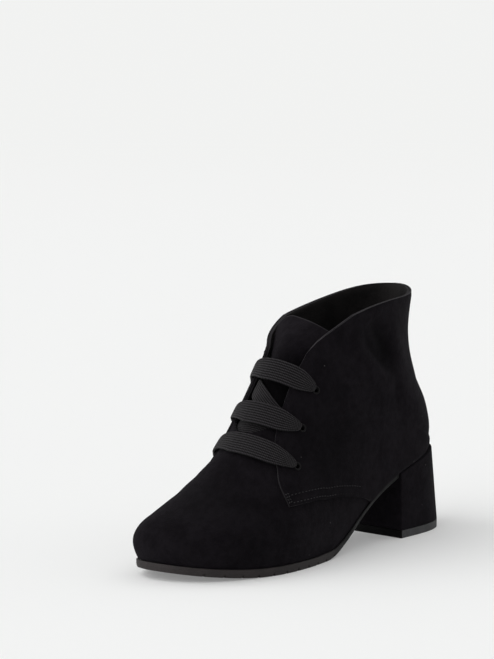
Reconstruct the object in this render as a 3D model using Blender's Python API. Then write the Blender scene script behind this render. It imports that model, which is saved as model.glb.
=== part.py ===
"""Left ankle boot in suede: derby lacing with three eyelet pairs, thin rubber sole, covered block heel.

Units are metres. +X points to the toe, +Y to the outer side, +Z up, and the floor is z = 0.
The upper is worked out from sections of the last: each half section runs from the ridge
of the foot down to the sole edge, or round to the centre back, on two cubic arcs.
"""

import functools
import math
from collections import namedtuple

import bmesh
import bpy
import numpy as np
from mathutils import Matrix, Vector

# Driving dimensions of the last
LENGTH = 0.2350
BALL_WIDTH = 0.0810
INSTEP_HEIGHT = 0.1250
HEEL_HEIGHT = 0.0545
COLLAR_HEIGHT = 0.1540
FRAME_SHIFT = 0.0015

# Driving dimensions of the pieces
GAP = 0.0003
OVERLAY_GAP = 0.0005
UPPER_WALL = 0.0016
QUARTER_WALL = 0.0012
TONGUE_WALL = 0.0018
SOLE_EDGE = 0.0055
SOLE_WAIST_EDGE = 0.0036
SOLE_TOE_EDGE = 0.0048
SOLE_MARGIN = 0.0010
SOLE_WAIST_START = 0.06
SOLE_TOE_START = 0.30
SOLE_EDGE_CHANGE = 0.20
SOLE_CHAMFER = 0.0008
GROOVE_WIDTH = 0.0013
GROOVE_DEPTH = 0.0014
GROOVE_PITCH = 0.0098
GROOVE_FIRST_X = 0.0060
GROOVE_COUNT = 11
HEEL_BREAST_X = -0.0665
HEEL_ROUNDNESS = 2.2
HEEL_PLAN_RATIO = 0.75
HEEL_MARGIN = 0.0022
HEEL_FLOOR_MARGIN = 0.0026
HEEL_BACK_FLARE = 0.0040
HEEL_TOP_SQUARE = 2.6
HEEL_FLOOR_SQUARE = 3.0
HEEL_TOP_ROUND = 0.0008
TOP_PIECE = 0.0050
INSOLE_THICKNESS = 0.0030
INSOLE_INSET = 0.0044
INSOLE_END = 0.0040
INSOLE_BLUNT = 0.002
LACE_WIDTH = 0.0140
LACE_TIP_WIDTH = 0.0048
LACE_THICKNESS = 0.0012
LACE_CROSS_WIDTH = 0.0086
LACE_GAP = 0.0006
CROSSING_GAP = 0.0011
BAR_STOP = 0.89
BAR_TAPER_START = 0.55
CROSS_STOP = 0.90
CROSS_TAPER_START = 0.45
EYELET_HOLE = 0.0015
EYELET_BARREL = 0.0019
EYELET_FLANGE = 0.0029
EYELET_FLANGE_HEIGHT = 0.0006
EYELET_BORE_CLEARANCE = 0.0003
EYELET_FLANGE_ROUND = 0.0003
EYELET_SEAT_GAP = 0.0007
EYELET_CUT_DEPTH = 0.0120

# Facets of the curved pieces, and the distance under which two points are one
VAMP_ROWS = 15
THROAT_COLUMNS = 3
THROAT_ROWS = 6
HEEL_ROWS = 7
LEG_ROWS = 8
QUARTER_COLUMNS = 12
HEEL_STEPS = 11
HEEL_RINGS = (0.0, 0.35, 0.7, 1.0)
TONGUE_COLUMNS = 5
WAIST_STEPS = 9
TOE_STEPS = 6
TOE_BLUNT = 0.00005
INSOLE_RINGS = 30
BAR_STEPS = 10
CROSS_STEPS = 8
EYELET_SIDES = 12
ARC_POINTS = 40
WELD = 0.00002

LATERAL, MEDIAL = 1, -1

# Sections of the last from the toe tip to the collar. ridge_x, base_x, shoulder and turn are percent
# of LENGTH: a half section has its full width from shoulder to turn, both measured from the ridge.
# ridge_z is percent of INSTEP_HEIGHT, swing and the half widths percent of BALL_WIDTH, rise percent
# of the way up the back, tuck degrees, bows millimetres. The foot columns hold until the heel seat
# rounds off.
Section = namedtuple(
    "Section",
    "place ridge_x ridge_z base_x rise swing lateral medial foot_lateral foot_medial"
    " shoulder turn crown flank tuck bow_lateral bow_medial",
)
SECTIONS = (
    Section("tip", 49.6, 8.54, 49.6, 0, -16.0, 0.0, 0.0, 0.0, 0.0, 0.0, 0.0, 0.55, 0.55, 10, 0, 0),
    Section("nose", 50.2, 15.2, 48.7, 0, -16.0, 15.4, 11.1, 14.2, 10.3, 2.4, 2.4, 0.60, 0.55, 10, 0, 0),
    Section("toe", 49.4, 22.0, 46.0, 0, -14.8, 29.6, 20.9, 27.8, 20.0, 5.1, 5.1, 0.60, 0.55, 10, 0, 0),
    Section("toe_top", 46.2, 27.2, 41.3, 0, -12.3, 40.7, 29.9, 38.3, 28.2, 7.5, 7.5, 0.60, 0.55, 10, 0, 0),
    Section("cap", 41.3, 31.2, 34.0, 0, -8.6, 49.4, 39.5, 46.3, 37.7, 10.1, 10.1, 0.58, 0.55, 10, 0, 0),
    Section("joint", 34.9, 37.6, 24.7, 0, -4.9, 53.7, 46.3, 50.6, 44.4, 13.5, 13.5, 0.56, 0.55, 10, 0, 0),
    Section("vamp", 28.5, 46.4, 14.9, 0, -2.5, 53.1, 46.9, 49.4, 44.4, 17.3, 17.3, 0.54, 0.55, 10, 0, 0),
    Section("throat", 23.0, 56.4, 5.1, 0, 0.0, 48.1, 43.2, 43.2, 38.3, 20.4, 20.4, 0.53, 0.55, 12, 0, 0),
    Section("instep", 18.5, 67.2, -6.0, 0, 0.0, 43.2, 40.7, 37.7, 32.1, 22.5, 22.5, 0.54, 0.55, 14, 0, 0),
    Section("shank", 14.7, 78.0, -18.7, 0, 0.0, 39.5, 38.3, 33.3, 30.9, 24.3, 25.0, 0.54, 0.55, 20, 0, 0),
    Section("seat", 11.5, 87.2, -33.2, 0, 0.0, 37.7, 37.0, 33.7, 32.7, 26.0, 31.0, 0.54, 0.55, 30, 0, 0),
    Section("corner", 8.5, 95.6, -49.1, 0, 0.0, 35.8, 35.4, 33.7, 32.7, 27.0, 44.5, 0.55, 0.60, 30, 1, 1),
    Section("heel", 7.9, 97.2, -49.1, 20, 0.0, 35.0, 35.0, 33.7, 32.7, 27.2, 38.0, 0.55, 0.60, 30, 3, 2),
    Section("ankle", 7.4, 98.4, -49.1, 44, 0.0, 34.2, 34.4, 33.7, 32.7, 26.6, 28.6, 0.55, 0.58, 30, 5, 3),
    Section("cuff", 7.1, 99.4, -49.1, 73, 0.0, 34.0, 34.0, 33.7, 32.7, 24.2, 24.6, 0.55, 0.56, 30, 7, 4),
    Section("collar", 6.8, 100, -49.1, 100, 0.0, 35.2, 34.0, 33.7, 32.7, 25.0, 25.6, 0.55, 0.58, 30, 9, 6),
)
# Rises that make up a section's bow on each side: share of the bow, power that carries its peak back
BOW_RISES = {"lateral": ((0.99, 0.75), (-0.28, 4.5)), "medial": ((0.90, 0.35), (0.21, 4.5))}
STATION = {section.place: number for number, section in enumerate(SECTIONS)}
LAST_STATION = len(SECTIONS) - 1

# Sole edge in side view: x percent of LENGTH, height percent of HEEL_HEIGHT
Feather = namedtuple("Feather", "x height")
FEATHER_LINE = (
    Feather(-50.6, 100.0),
    Feather(-39.1, 89.0),
    Feather(-28.9, 76.0),
    Feather(-20.4, 59.2),
    Feather(-11.9, 38.9),
    Feather(-5.1, 22.4),
    Feather(0.9, 12.1),
    Feather(7.7, 9.6),
    Feather(17.0, 9.6),
    Feather(25.5, 9.9),
    Feather(34.0, 11.4),
    Feather(42.6, 15.2),
    Feather(51.1, 20.6),
)

# Centre back in side view: percent of the way from heel seat to collar, x percent of LENGTH
Back = namedtuple("Back", "rise x")
BACK_LINE = (
    Back(0, -49.1),
    Back(10, -49.7),
    Back(22, -49.0),
    Back(38, -46.1),
    Back(57, -43.1),
    Back(73, -42.2),
    Back(87, -42.6),
    Back(100, -43.4),
)

# Front edge of the quarter: place between the sections, percent of the half section from the ridge
Facing = namedtuple("Facing", "station edge")
FACING_EDGE = (
    Facing(6.20, 55.0),
    Facing(6.45, 42.5),
    Facing(6.95, 30.5),
    Facing(7.50, 22.0),
    Facing(8.20, 16.8),
    Facing(9.00, 14.4),
    Facing(10.0, 12.0),
    Facing(10.75, 10.85),
    Facing(10.9, 10.5),
    Facing(11.0, 9.95),
    Facing(11.1, 10.0),
    Facing(11.5, 10.35),
    Facing(12.0, 10.85),
    Facing(12.7, 12.2),
    Facing(13.6, 15.9),
    Facing(14.1, 19.0),
    Facing(14.5, 23.6),
    Facing(14.75, 28.4),
    Facing(14.92, 33.0),
    Facing(15.0, 36.0),
)

# Lower seam of the quarter: percent of the half section, place between the sections
Seam = namedtuple("Seam", "reach station")
QUARTER_SEAM = (
    Seam(55.0, 6.20),
    Seam(58.5, 7.00),
    Seam(67.5, 7.80),
    Seam(79.0, 8.35),
    Seam(87.0, 8.60),
    Seam(93.5, 8.75),
    Seam(100.0, 8.83),
)

# Throat of the upper: place of its foot on the ridge and on the facing edge
THROAT_FOOT = 7.55
THROAT_SIDE = 8.25

# Tongue: place between the sections, depth under the last and half width in millimetres, share of
# the last's curve that it keeps, factor on its width, drop from inner to outer side as a share of
# the width, then how far a row is carried back and up past the lacing
Tongue = namedtuple("Tongue", "station depth half_width curl widen skew back up")
TONGUE_ROWS = (
    Tongue(6.5, 2.0, 15.0, 1.00, 1.00, 0.00, 0.0, 0.0),
    Tongue(7.0, 4.0, 19.5, 1.00, 1.00, 0.00, 0.0, 0.0),
    Tongue(7.4, 4.6, 21.5, 1.00, 1.00, 0.00, 0.0, 0.0),
    Tongue(7.9, 4.6, 23.0, 1.00, 1.00, 0.00, 0.0, 0.0),
    Tongue(8.6, 4.6, 25.0, 1.00, 1.00, 0.00, 0.0, 0.0),
    Tongue(9.4, 4.6, 26.5, 1.00, 1.00, 0.00, 0.0, 0.0),
    Tongue(10.2, 4.6, 27.5, 1.00, 1.00, 0.00, 0.0, 0.0),
    Tongue(10.8, 4.6, 27.5, 1.00, 1.00, 0.00, 0.0, 0.0),
    Tongue(10.8, 4.6, 27.5, 0.85, 0.97, 0.02, 5.0, 7.0),
    Tongue(10.8, 4.6, 27.5, 0.65, 1.05, 0.06, 11.5, 13.3),
    Tongue(10.8, 4.6, 27.5, 0.45, 1.14, 0.11, 18.0, 18.5),
    Tongue(10.8, 4.6, 27.5, 0.30, 1.21, 0.16, 23.5, 22.3),
    Tongue(10.8, 4.6, 27.5, 0.26, 1.25, 0.19, 26.5, 24.4),
)

# Lacing, from the toe up: place of the eyelet between the sections, percent of the half section
# from the ridge, and place of the bar's middle on the ridge
Lacing = namedtuple("Lacing", "number station reach middle")
LACING = (
    Lacing(1, 7.50, 37.5, 7.08),
    Lacing(2, 8.65, 28.3, 8.33),
    Lacing(3, 10.14, 22.5, 10.28),
)

# Colour, roughness and metallic value of each finish
Finish = namedtuple("Finish", "colour roughness metallic")
SUEDE = Finish((0.018, 0.016, 0.019), 0.95, 0.0)
LINING = Finish((0.015, 0.014, 0.015), 0.80, 0.0)
RUBBER = Finish((0.060, 0.052, 0.050), 0.65, 0.0)
LACE = Finish((0.055, 0.052, 0.058), 0.90, 0.0)
EYELET_METAL = Finish((0.030, 0.028, 0.030), 0.45, 0.8)


def smooth(knots, values, at):
    """Smooth curve through values at knots, read at one place."""
    knots = np.asarray(knots, float)
    values = np.asarray(values, float)
    steps = np.diff(knots)
    slopes = np.diff(values) / steps
    tangents = np.empty_like(values)
    tangents[1:-1] = (slopes[:-1] * steps[1:] + slopes[1:] * steps[:-1]) / (steps[:-1] + steps[1:])
    tangents[0] = 1.5 * slopes[0] - 0.5 * tangents[1]
    tangents[-1] = 1.5 * slopes[-1] - 0.5 * tangents[-2]
    left = int(np.clip(np.searchsorted(knots, at, side="right") - 1, 0, len(knots) - 2))
    t = (at - knots[left]) / steps[left]
    value = (2 * t**3 - 3 * t**2 + 1) * values[left] + (3 * t**2 - 2 * t**3) * values[left + 1]
    value += (t**3 - 2 * t**2 + t) * steps[left] * tangents[left]
    value += (t**3 - t**2) * steps[left] * tangents[left + 1]
    return float(value)


def column(table, name):
    """One named column of a table."""
    return [getattr(row, name) for row in table]


def read(table, key, name, at):
    """Column name of a table, read smoothly at a value of its key column."""
    return smooth(column(table, key), column(table, name), at)


def mix(start, end, share):
    """Value part of the way from start to end."""
    return start + (end - start) * share


def eased(step, count):
    """Share of a row of points that lie closer together at both its ends."""
    share = step / count
    return mix(share, (1 - math.cos(math.pi * share)) / 2, 0.6)


def feather_height(x):
    """Height of the sole edge, where upper and sole meet, at x."""
    share = (x - FRAME_SHIFT) / LENGTH * 100
    return read(FEATHER_LINE, "x", "height", share) / 100 * HEEL_HEIGHT


def base_point(station):
    """Point of the base line, along the sole edge to the heel corner and then up the centre back."""
    corner = STATION["corner"]
    if station <= corner:
        share = smooth(range(corner + 1), column(SECTIONS[: corner + 1], "base_x"), station)
        x = share / 100 * LENGTH + FRAME_SHIFT
        return x, feather_height(x)
    rise = smooth(range(corner, len(SECTIONS)), column(SECTIONS[corner:], "rise"), station)
    foot = feather_height(SECTIONS[corner].base_x / 100 * LENGTH + FRAME_SHIFT)
    x = read(BACK_LINE, "rise", "x", rise) / 100 * LENGTH + FRAME_SHIFT
    return x, mix(foot, COLLAR_HEIGHT, rise / 100)


def heel_round(x):
    """Share of the way round the heel seat at x, and share of the half width that is left there."""
    start = SECTIONS[STATION["seat"]].base_x / 100 * LENGTH + FRAME_SHIFT
    end = SECTIONS[STATION["corner"]].base_x / 100 * LENGTH + FRAME_SHIFT
    way = min(max((start - x) / (start - end), 0.0), 1.0)
    return way, (1 - way**HEEL_ROUNDNESS) ** (1 / HEEL_ROUNDNESS)


@functools.lru_cache(maxsize=None)
def section_at(station):
    """Sizes of the section at a place between the rows of SECTIONS."""
    rows = range(len(SECTIONS))
    values = {name: smooth(rows, column(SECTIONS, name), station) for name in Section._fields[1:]}
    base = base_point(station)
    ridge = (values["ridge_x"] / 100 * LENGTH + FRAME_SHIFT, values["ridge_z"] / 100 * INSTEP_HEIGHT)
    if station > STATION["seat"]:
        way, left = heel_round(base[0]) if station < STATION["corner"] else (1.0, 0.0)
        lean = abs(base[0] - ridge[0]) / math.dist(base, ridge)
        power = HEEL_ROUNDNESS - 1
        turn = math.atan2(lean * HEEL_PLAN_RATIO * way**power, left**power)
        values["tuck"] = mix(values["tuck"], 90.0, turn / (math.pi / 2))
        values["foot_lateral"] *= left
        values["foot_medial"] *= left
    values["base"] = base
    values["ridge"] = ridge
    return values


def arc_points(start, start_handle, end_handle, end, count):
    """Points of one cubic arc."""
    t = np.linspace(0.0, 1.0, count)[:, None]
    points = (1 - t) ** 3 * np.array(start) + 3 * (1 - t) ** 2 * t * np.array(start_handle)
    return points + 3 * (1 - t) * t**2 * np.array(end_handle) + t**3 * np.array(end)


@functools.lru_cache(maxsize=None)
def half_section(station, side):
    """Points of a half section from ridge to base and their share of its length."""
    size = section_at(station)
    name = "lateral" if side == LATERAL else "medial"
    widest = max(size[name], 0.0) / 100 * BALL_WIDTH
    foot = min(max(size["foot_" + name], 0.0) / 100 * BALL_WIDTH, widest)
    ridge = np.array(size["ridge"])
    base = np.array(size["base"])
    depth = max(float(np.linalg.norm(base - ridge)), 1e-9)
    down = (base - ridge) / depth
    shoulder = max(size["shoulder"], 0.0) / 100 * LENGTH
    turn = max(size["turn"], size["shoulder"], 0.0) / 100 * LENGTH
    crown = size["crown"]
    flank = size["flank"]
    tuck = math.radians(size["tuck"])
    crown_end = (shoulder * (1 - crown), widest)
    upper_arc = arc_points((0, 0), (0, crown * widest), crown_end, (shoulder, widest), ARC_POINTS)
    room = min((depth - turn) / max(math.cos(tuck), 1e-6), (widest - foot) / max(math.sin(tuck), 1e-6))
    end_handle = (depth - flank * room * math.cos(tuck), foot + flank * room * math.sin(tuck))
    lower_start = (turn + flank * (depth - turn), widest)
    lower_arc = arc_points((turn, widest), lower_start, end_handle, (depth, foot), ARC_POINTS)
    flat = np.vstack([upper_arc, lower_arc[1:]])
    along = np.clip(flat[:, 0] / depth, 0.0, 1.0)
    rise = sum(part * np.sin(math.pi * along**power) for part, power in BOW_RISES[name])
    lift = size["bow_" + name] / 1000 * rise
    points = np.empty((len(flat), 3))
    points[:, 0] = ridge[0] + down[0] * flat[:, 0] + down[1] * lift
    points[:, 1] = size["swing"] / 100 * BALL_WIDTH + side * flat[:, 1]
    points[:, 2] = ridge[1] + down[1] * flat[:, 0] - down[0] * lift
    lengths = np.concatenate([[0.0], np.cumsum(np.linalg.norm(np.diff(points, axis=0), axis=1))])
    return points, lengths


def last_point(station, share, side):
    """Point of the last at a place between the sections and a share of the half section."""
    points, lengths = half_section(round(station, 5), side)
    target = share * lengths[-1]
    return np.array([np.interp(target, lengths, points[:, axis]) for axis in range(3)])


def half_length(station, side):
    """Length of a half section from ridge to base."""
    return float(half_section(round(station, 5), side)[1][-1])


def last_normal(station, share, side):
    """Outward direction of the last, in the middle plane on the ridge and the centre back."""
    if station < 0.02:
        return np.array([1.0, 0.0, 0.0])
    step, slip = 0.06, 0.012
    near_stations = (max(station - step, 0.0), min(station + step, LAST_STATION))
    shares = [share, share]
    if station > STATION["seat"]:
        arc = share * half_length(station, side)
        shares = [min(arc / half_length(near, side), 1.0) for near in near_stations]
    fore, aft = [last_point(near, reach, side) for near, reach in zip(near_stations, shares)]
    run = aft - fore
    if share <= 0.0:
        normal = np.array([run[2], 0.0, -run[0]])
    elif share >= 1.0 and station >= STATION["corner"]:
        above = last_point(min(station + 2 * step, LAST_STATION), share, side)
        climb = above - last_point(station - (0.0 if station < LAST_STATION else 2 * step), share, side)
        normal = np.array([-climb[2], 0.0, climb[0]])
    else:
        high = last_point(station, max(share - slip, 0.0), side)
        low = last_point(station, min(share + slip, 1.0), side)
        normal = np.cross(low - high, run) * side
    return normal / max(float(np.linalg.norm(normal)), 1e-12)


def offset_point(station, share, side, distance):
    """Point at a distance out from the last, kept at or above the sole edge."""
    point = last_point(station, share, side) + last_normal(station, share, side) * distance
    point[2] = max(point[2], feather_height(point[0]))
    return point


def facing_share(station):
    """Share of the half section at which the quarter's front edge lies."""
    return read(FACING_EDGE, "station", "edge", station) / 100


def new_material(name, finish):
    """Material with a finish's colour, roughness and metallic value."""
    material = bpy.data.materials.new(name)
    material.use_nodes = True
    shader = material.node_tree.nodes["Principled BSDF"]
    shader.inputs["Base Color"].default_value = (*finish.colour, 1.0)
    shader.inputs["Roughness"].default_value = finish.roughness
    shader.inputs["Metallic"].default_value = finish.metallic
    return material


def new_object(name, bm, material):
    """Object with a closed mesh, faces out, shaded smooth with sharp edges kept."""
    bmesh.ops.remove_doubles(bm, verts=bm.verts, dist=WELD)
    bmesh.ops.dissolve_degenerate(bm, edges=bm.edges, dist=WELD / 2)
    bmesh.ops.recalc_face_normals(bm, faces=bm.faces)
    mesh = bpy.data.meshes.new(name)
    bm.to_mesh(mesh)
    bm.free()
    mesh.shade_smooth()
    mesh.set_sharp_from_angle(angle=math.radians(40))
    mesh.materials.append(material)
    piece = bpy.data.objects.new(name, mesh)
    bpy.context.scene.collection.objects.link(piece)
    return piece


def add_grid(bm, points):
    """Rows of points joined by triangles, cut the same way in every grid; returns the vertices."""
    rows = [[bm.verts.new(point) for point in row] for row in points]
    for row, after in zip(rows, rows[1:]):
        for corner in range(len(row) - 1):
            bm.faces.new((row[corner], row[corner + 1], after[corner + 1]))
            bm.faces.new((row[corner], after[corner + 1], after[corner]))
    return rows


def wall_mesh(faces_out, faces_in):
    """Closed wall between an outer and an inner set of grids, with the open edges joined."""
    bm = bmesh.new()
    pairs = []
    for outer, inner in zip(faces_out, faces_in):
        pairs.append((add_grid(bm, outer), add_grid(bm, inner)))
    partner = {}
    for outer, inner in pairs:
        for row_out, row_in in zip(outer, inner):
            partner.update(zip(row_out, row_in))
    outer_verts = list(partner)
    inner_verts = list(partner.values())
    outer_map = merge_map(bm, outer_verts)
    inner_map = merge_map(bm, inner_verts)
    bmesh.ops.weld_verts(bm, targetmap=outer_map)
    bmesh.ops.weld_verts(bm, targetmap=inner_map)
    kept = {out: inner_map.get(inn, inn) for out, inn in partner.items() if out.is_valid}
    open_edges = [edge for edge in bm.edges if edge.is_boundary]
    for edge in open_edges:
        start, end = edge.verts
        if start not in kept or end not in kept:
            continue
        loop = [start, end, kept[end], kept[start]]
        if len(set(loop)) == 4:
            bm.faces.new(loop)
    return bm


def merge_map(bm, verts):
    """Vertices that lie on one another, each with the one to keep."""
    found = bmesh.ops.find_doubles(bm, verts=verts, dist=WELD)
    return found["targetmap"]


def quarter_climbs():
    """Rows of the quarter from its seam to the collar, closer at the seam, the heel corner and the collar."""
    seam, top = QUARTER_SEAM[0].station, LAST_STATION
    foot = QUARTER_SEAM[-1].station
    throat = (THROAT_SIDE - seam) / (top - seam)
    corner = (STATION["corner"] - foot) / (top - foot)
    climbs = [throat * (step / THROAT_ROWS) ** 1.3 for step in range(THROAT_ROWS)]
    climbs += [mix(throat, corner, math.sin(math.pi / 2 * step / HEEL_ROWS)) for step in range(HEEL_ROWS)]
    climbs += [mix(corner, 1.0, math.sin(math.pi / 2 * step / LEG_ROWS)) for step in range(LEG_ROWS + 1)]
    return climbs


def quarter_places(side, end_gap):
    """Places of the quarter's points: rows from seam to collar, each from the facing edge to the back."""
    first = QUARTER_SEAM[0]
    places = []
    for climb in quarter_climbs():
        start = facing_share(mix(first.station, LAST_STATION, climb))
        row = []
        for step in range(QUARTER_COLUMNS + 1):
            across = eased(step, QUARTER_COLUMNS)
            seam_station = read(QUARTER_SEAM, "reach", "station", mix(first.reach, 100.0, across))
            station = round(mix(seam_station, LAST_STATION, climb), 6)
            end = 1.0 - end_gap / half_length(station, side) if station > STATION["corner"] - 0.5 else 1.0
            row.append((station, mix(start, end, across)))
        places.append(row)
    return places


def vamp_places(side):
    """Places of the vamp's points: rows from the toe tip to the throat, the facing edge and the seam."""
    quarter = quarter_places(side, 0.0)
    side_share = facing_share(THROAT_SIDE)
    edge = []
    for step in range(THROAT_COLUMNS):
        share = step / THROAT_COLUMNS
        edge.append((mix(THROAT_FOOT, THROAT_SIDE, share**2), side_share * share))
    edge += [row[0] for row in quarter[THROAT_ROWS:0:-1]]
    edge += quarter[0]
    rows = []
    for step in range(VAMP_ROWS + 1):
        share = (step / VAMP_ROWS) ** 1.25
        rows.append([(station * share, reach) for station, reach in edge])
    return rows


def grid_points(places, side, distance):
    """Points of a grid of places, at a distance out from the last."""
    return [[offset_point(station, share, side, distance) for station, share in row] for row in places]


def build_upper(material):
    """Hollow upper, open at collar, throat and sole."""
    faces_out, faces_in = [], []
    for side in (LATERAL, MEDIAL):
        for places in (vamp_places(side), quarter_places(side, 0.0)):
            faces_out.append(grid_points(places, side, 0.0))
            faces_in.append(grid_points(places, side, -UPPER_WALL))
    return new_object("upper", wall_mesh(faces_out, faces_in), material)


def build_quarter(name, side, material):
    """Quarter laid over the upper, from facing to centre back."""
    places = quarter_places(side, GAP)
    near = grid_points(places, side, OVERLAY_GAP)
    far = grid_points(places, side, OVERLAY_GAP + QUARTER_WALL)
    return new_object(name, wall_mesh([far], [near]), material)


def tongue_grid(extra_depth):
    """Tongue under the throat, from its root on the vamp to its free top."""
    grid = []
    for row in TONGUE_ROWS:
        line = []
        for step in range(-TONGUE_COLUMNS, TONGUE_COLUMNS + 1):
            side = LATERAL if step >= 0 else MEDIAL
            arc = abs(step) / TONGUE_COLUMNS * row.half_width / 1000
            share = arc / half_length(row.station, side)
            depth = row.depth / 1000 + extra_depth
            point = offset_point(row.station, share, side, -depth)
            middle = offset_point(row.station, 0.0, side, -depth)
            point[::2] = mix(middle[::2], point[::2], row.curl)
            point[1] *= row.widen
            point[2] -= row.skew * point[1]
            line.append(point + np.array([-row.back, 0.0, row.up]) / 1000)
        grid.append(line)
    return grid


def build_tongue(material):
    """Tongue as one curved sheet."""
    bm = wall_mesh([tongue_grid(0.0)], [tongue_grid(TONGUE_WALL)])
    return new_object("tongue", bm, material)


@functools.lru_cache(maxsize=None)
def outline(side, margin):
    """Sole edge of one side in plan, moved out by a margin: x falling from toe to heel, and y."""
    stations = (1 - np.cos(np.linspace(0.0, math.pi, 241))) / 2 * STATION["corner"]
    points = np.array([last_point(station, 1.0, side)[:2] for station in stations])
    run = np.gradient(points, axis=0)
    run /= np.maximum(np.linalg.norm(run, axis=1), 1e-12)[:, None]
    outward = np.stack([-run[:, 1], run[:, 0]], axis=1) * -side
    outward[0] = (1.0, 0.0)
    outward[-1] = (-1.0, 0.0)
    return points + outward * margin


def outline_y(x, side, margin):
    """Place of the outline at x on one side."""
    edge = outline(side, margin)
    run = np.maximum.accumulate(edge[::-1, 0])
    return float(np.interp(x, run, edge[::-1, 1]))


def sole_thickness(x):
    """Edge thickness of the sole, thinner at the waist and the toe."""
    share = (x - FRAME_SHIFT) / LENGTH
    if share < SOLE_WAIST_START:
        change = (SOLE_WAIST_START - share) / SOLE_EDGE_CHANGE
        return mix(SOLE_EDGE, SOLE_WAIST_EDGE, min(change, 1.0))
    change = max(share - SOLE_TOE_START, 0.0) / SOLE_EDGE_CHANGE
    return mix(SOLE_EDGE, SOLE_TOE_EDGE, min(change, 1.0))


def sole_stations(front_x):
    """Places along the sole with the groove depth there, grooves as steps."""
    plain = [HEEL_BREAST_X + GAP * 2]
    plain += [mix(HEEL_BREAST_X, GROOVE_FIRST_X, step / WAIST_STEPS) for step in range(1, WAIST_STEPS)]
    grooves = [GROOVE_FIRST_X + GROOVE_PITCH * step for step in range(GROOVE_COUNT)]
    half = GROOVE_WIDTH / 2
    stations = [(x, 0.0) for x in plain]
    for x in grooves:
        stations += [(x - half, 0.0), (x - half, GROOVE_DEPTH), (x + half, GROOVE_DEPTH), (x + half, 0.0)]
        between = x + GROOVE_PITCH / 2
        if between < front_x - GROOVE_PITCH / 2:
            stations.append((between, 0.0))
    nose_start = stations[-1][0]
    for step in range(1, TOE_STEPS + 1):
        share = math.sin(math.pi / 2 * step / TOE_STEPS)
        stations.append((mix(nose_start, front_x - TOE_BLUNT, share), 0.0))
    return stations


def build_outsole(material):
    """Rubber forepart from toe to heel breast with cross grooves that reach its edge."""
    front_x = float(outline(LATERAL, SOLE_MARGIN)[0][0])
    return loft("outsole", sole_rings(front_x), material)


def sole_rings(front_x):
    """Cross sections of the sole from breast to toe."""
    rings = []
    for x, groove in sole_stations(front_x):
        outer = outline_y(x, LATERAL, SOLE_MARGIN)
        inner = outline_y(x, MEDIAL, SOLE_MARGIN)
        chamfer = min(SOLE_CHAMFER, (outer - inner) / 4)
        tread = max(feather_height(x) - sole_thickness(x), 0.0)
        side_end = tread + GROOVE_DEPTH + SOLE_CHAMFER
        rings.append(
            (
                (x, inner, feather_height(x) - GAP),
                (x, inner, side_end),
                (x, inner + chamfer, tread + groove),
                (x, outer - chamfer, tread + groove),
                (x, outer, side_end),
                (x, outer, feather_height(x) - GAP),
            )
        )
    return rings


def loft(name, rings, material):
    """Solid through closed rings of equal count, both ends filled by strips from side to side."""
    bm = bmesh.new()
    loops = [[bm.verts.new(point) for point in ring] for ring in rings]
    for loop, after in zip(loops, loops[1:]):
        count = len(loop)
        for corner in range(count):
            following = (corner + 1) % count
            bm.faces.new((loop[corner], loop[following], after[following], after[corner]))
    for loop in (loops[0], loops[-1]):
        for corner in range((len(loop) - 1) // 2):
            strip = (loop[corner], loop[corner + 1], loop[-2 - corner], loop[-1 - corner])
            bm.faces.new(dict.fromkeys(strip))
    return new_object(name, bm, material)


def heel_side(x, back_x, side, margin, squareness):
    """Place of the heel's side at x: the seat's outline, then a turn to the back of a given squareness."""
    start = SECTIONS[STATION["seat"]].base_x / 100 * LENGTH + FRAME_SHIFT
    way = min(max((start - x) / (start - back_x), 0.0), 1.0)
    return outline_y(max(x, start), side, margin) * (1 - way**squareness) ** (1 / squareness)


def heel_plan(margin, flare, squareness):
    """Plan of the heel from breast round the back: the seat's outline moved out by a margin, with a
    flare that grows towards the back."""
    lines = []
    for side in (LATERAL, MEDIAL):
        back_x = float(outline(side, margin)[-1][0])
        line = []
        for step in range(HEEL_STEPS + 1):
            share = math.sin(math.pi / 2 * step / HEEL_STEPS)
            x = mix(HEEL_BREAST_X, back_x, share)
            line.append((x - flare * share, heel_side(x, back_x, side, margin, squareness)))
        lines.append(line)
    return lines[0] + lines[1][-2::-1]


def build_heel(block_material, tip_material):
    """Covered heel block under the seat and its rubber top piece on the floor."""
    crown = heel_plan(HEEL_MARGIN - HEEL_TOP_ROUND, 0.0, HEEL_TOP_SQUARE)
    top = heel_plan(HEEL_MARGIN, 0.0, HEEL_TOP_SQUARE)
    floor = heel_plan(HEEL_FLOOR_MARGIN, HEEL_BACK_FLARE, HEEL_FLOOR_SQUARE)
    start = TOP_PIECE + GAP
    rings = []
    for share in HEEL_RINGS:
        ring = []
        for (top_x, top_y), (floor_x, floor_y) in zip(top, floor):
            height = mix(start, feather_height(top_x) - GAP - HEEL_TOP_ROUND, share)
            ring.append((mix(floor_x, top_x, share), mix(floor_y, top_y, share), height))
        rings.append(ring)
    rings.append([(x, y, feather_height(x) - GAP) for x, y in crown])
    block = loft("heel_block", rings, block_material)
    lift = [[(x, y, height) for x, y in floor] for height in (0.0, TOP_PIECE)]
    return block, loft("heel_top_piece", lift, tip_material)


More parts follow.
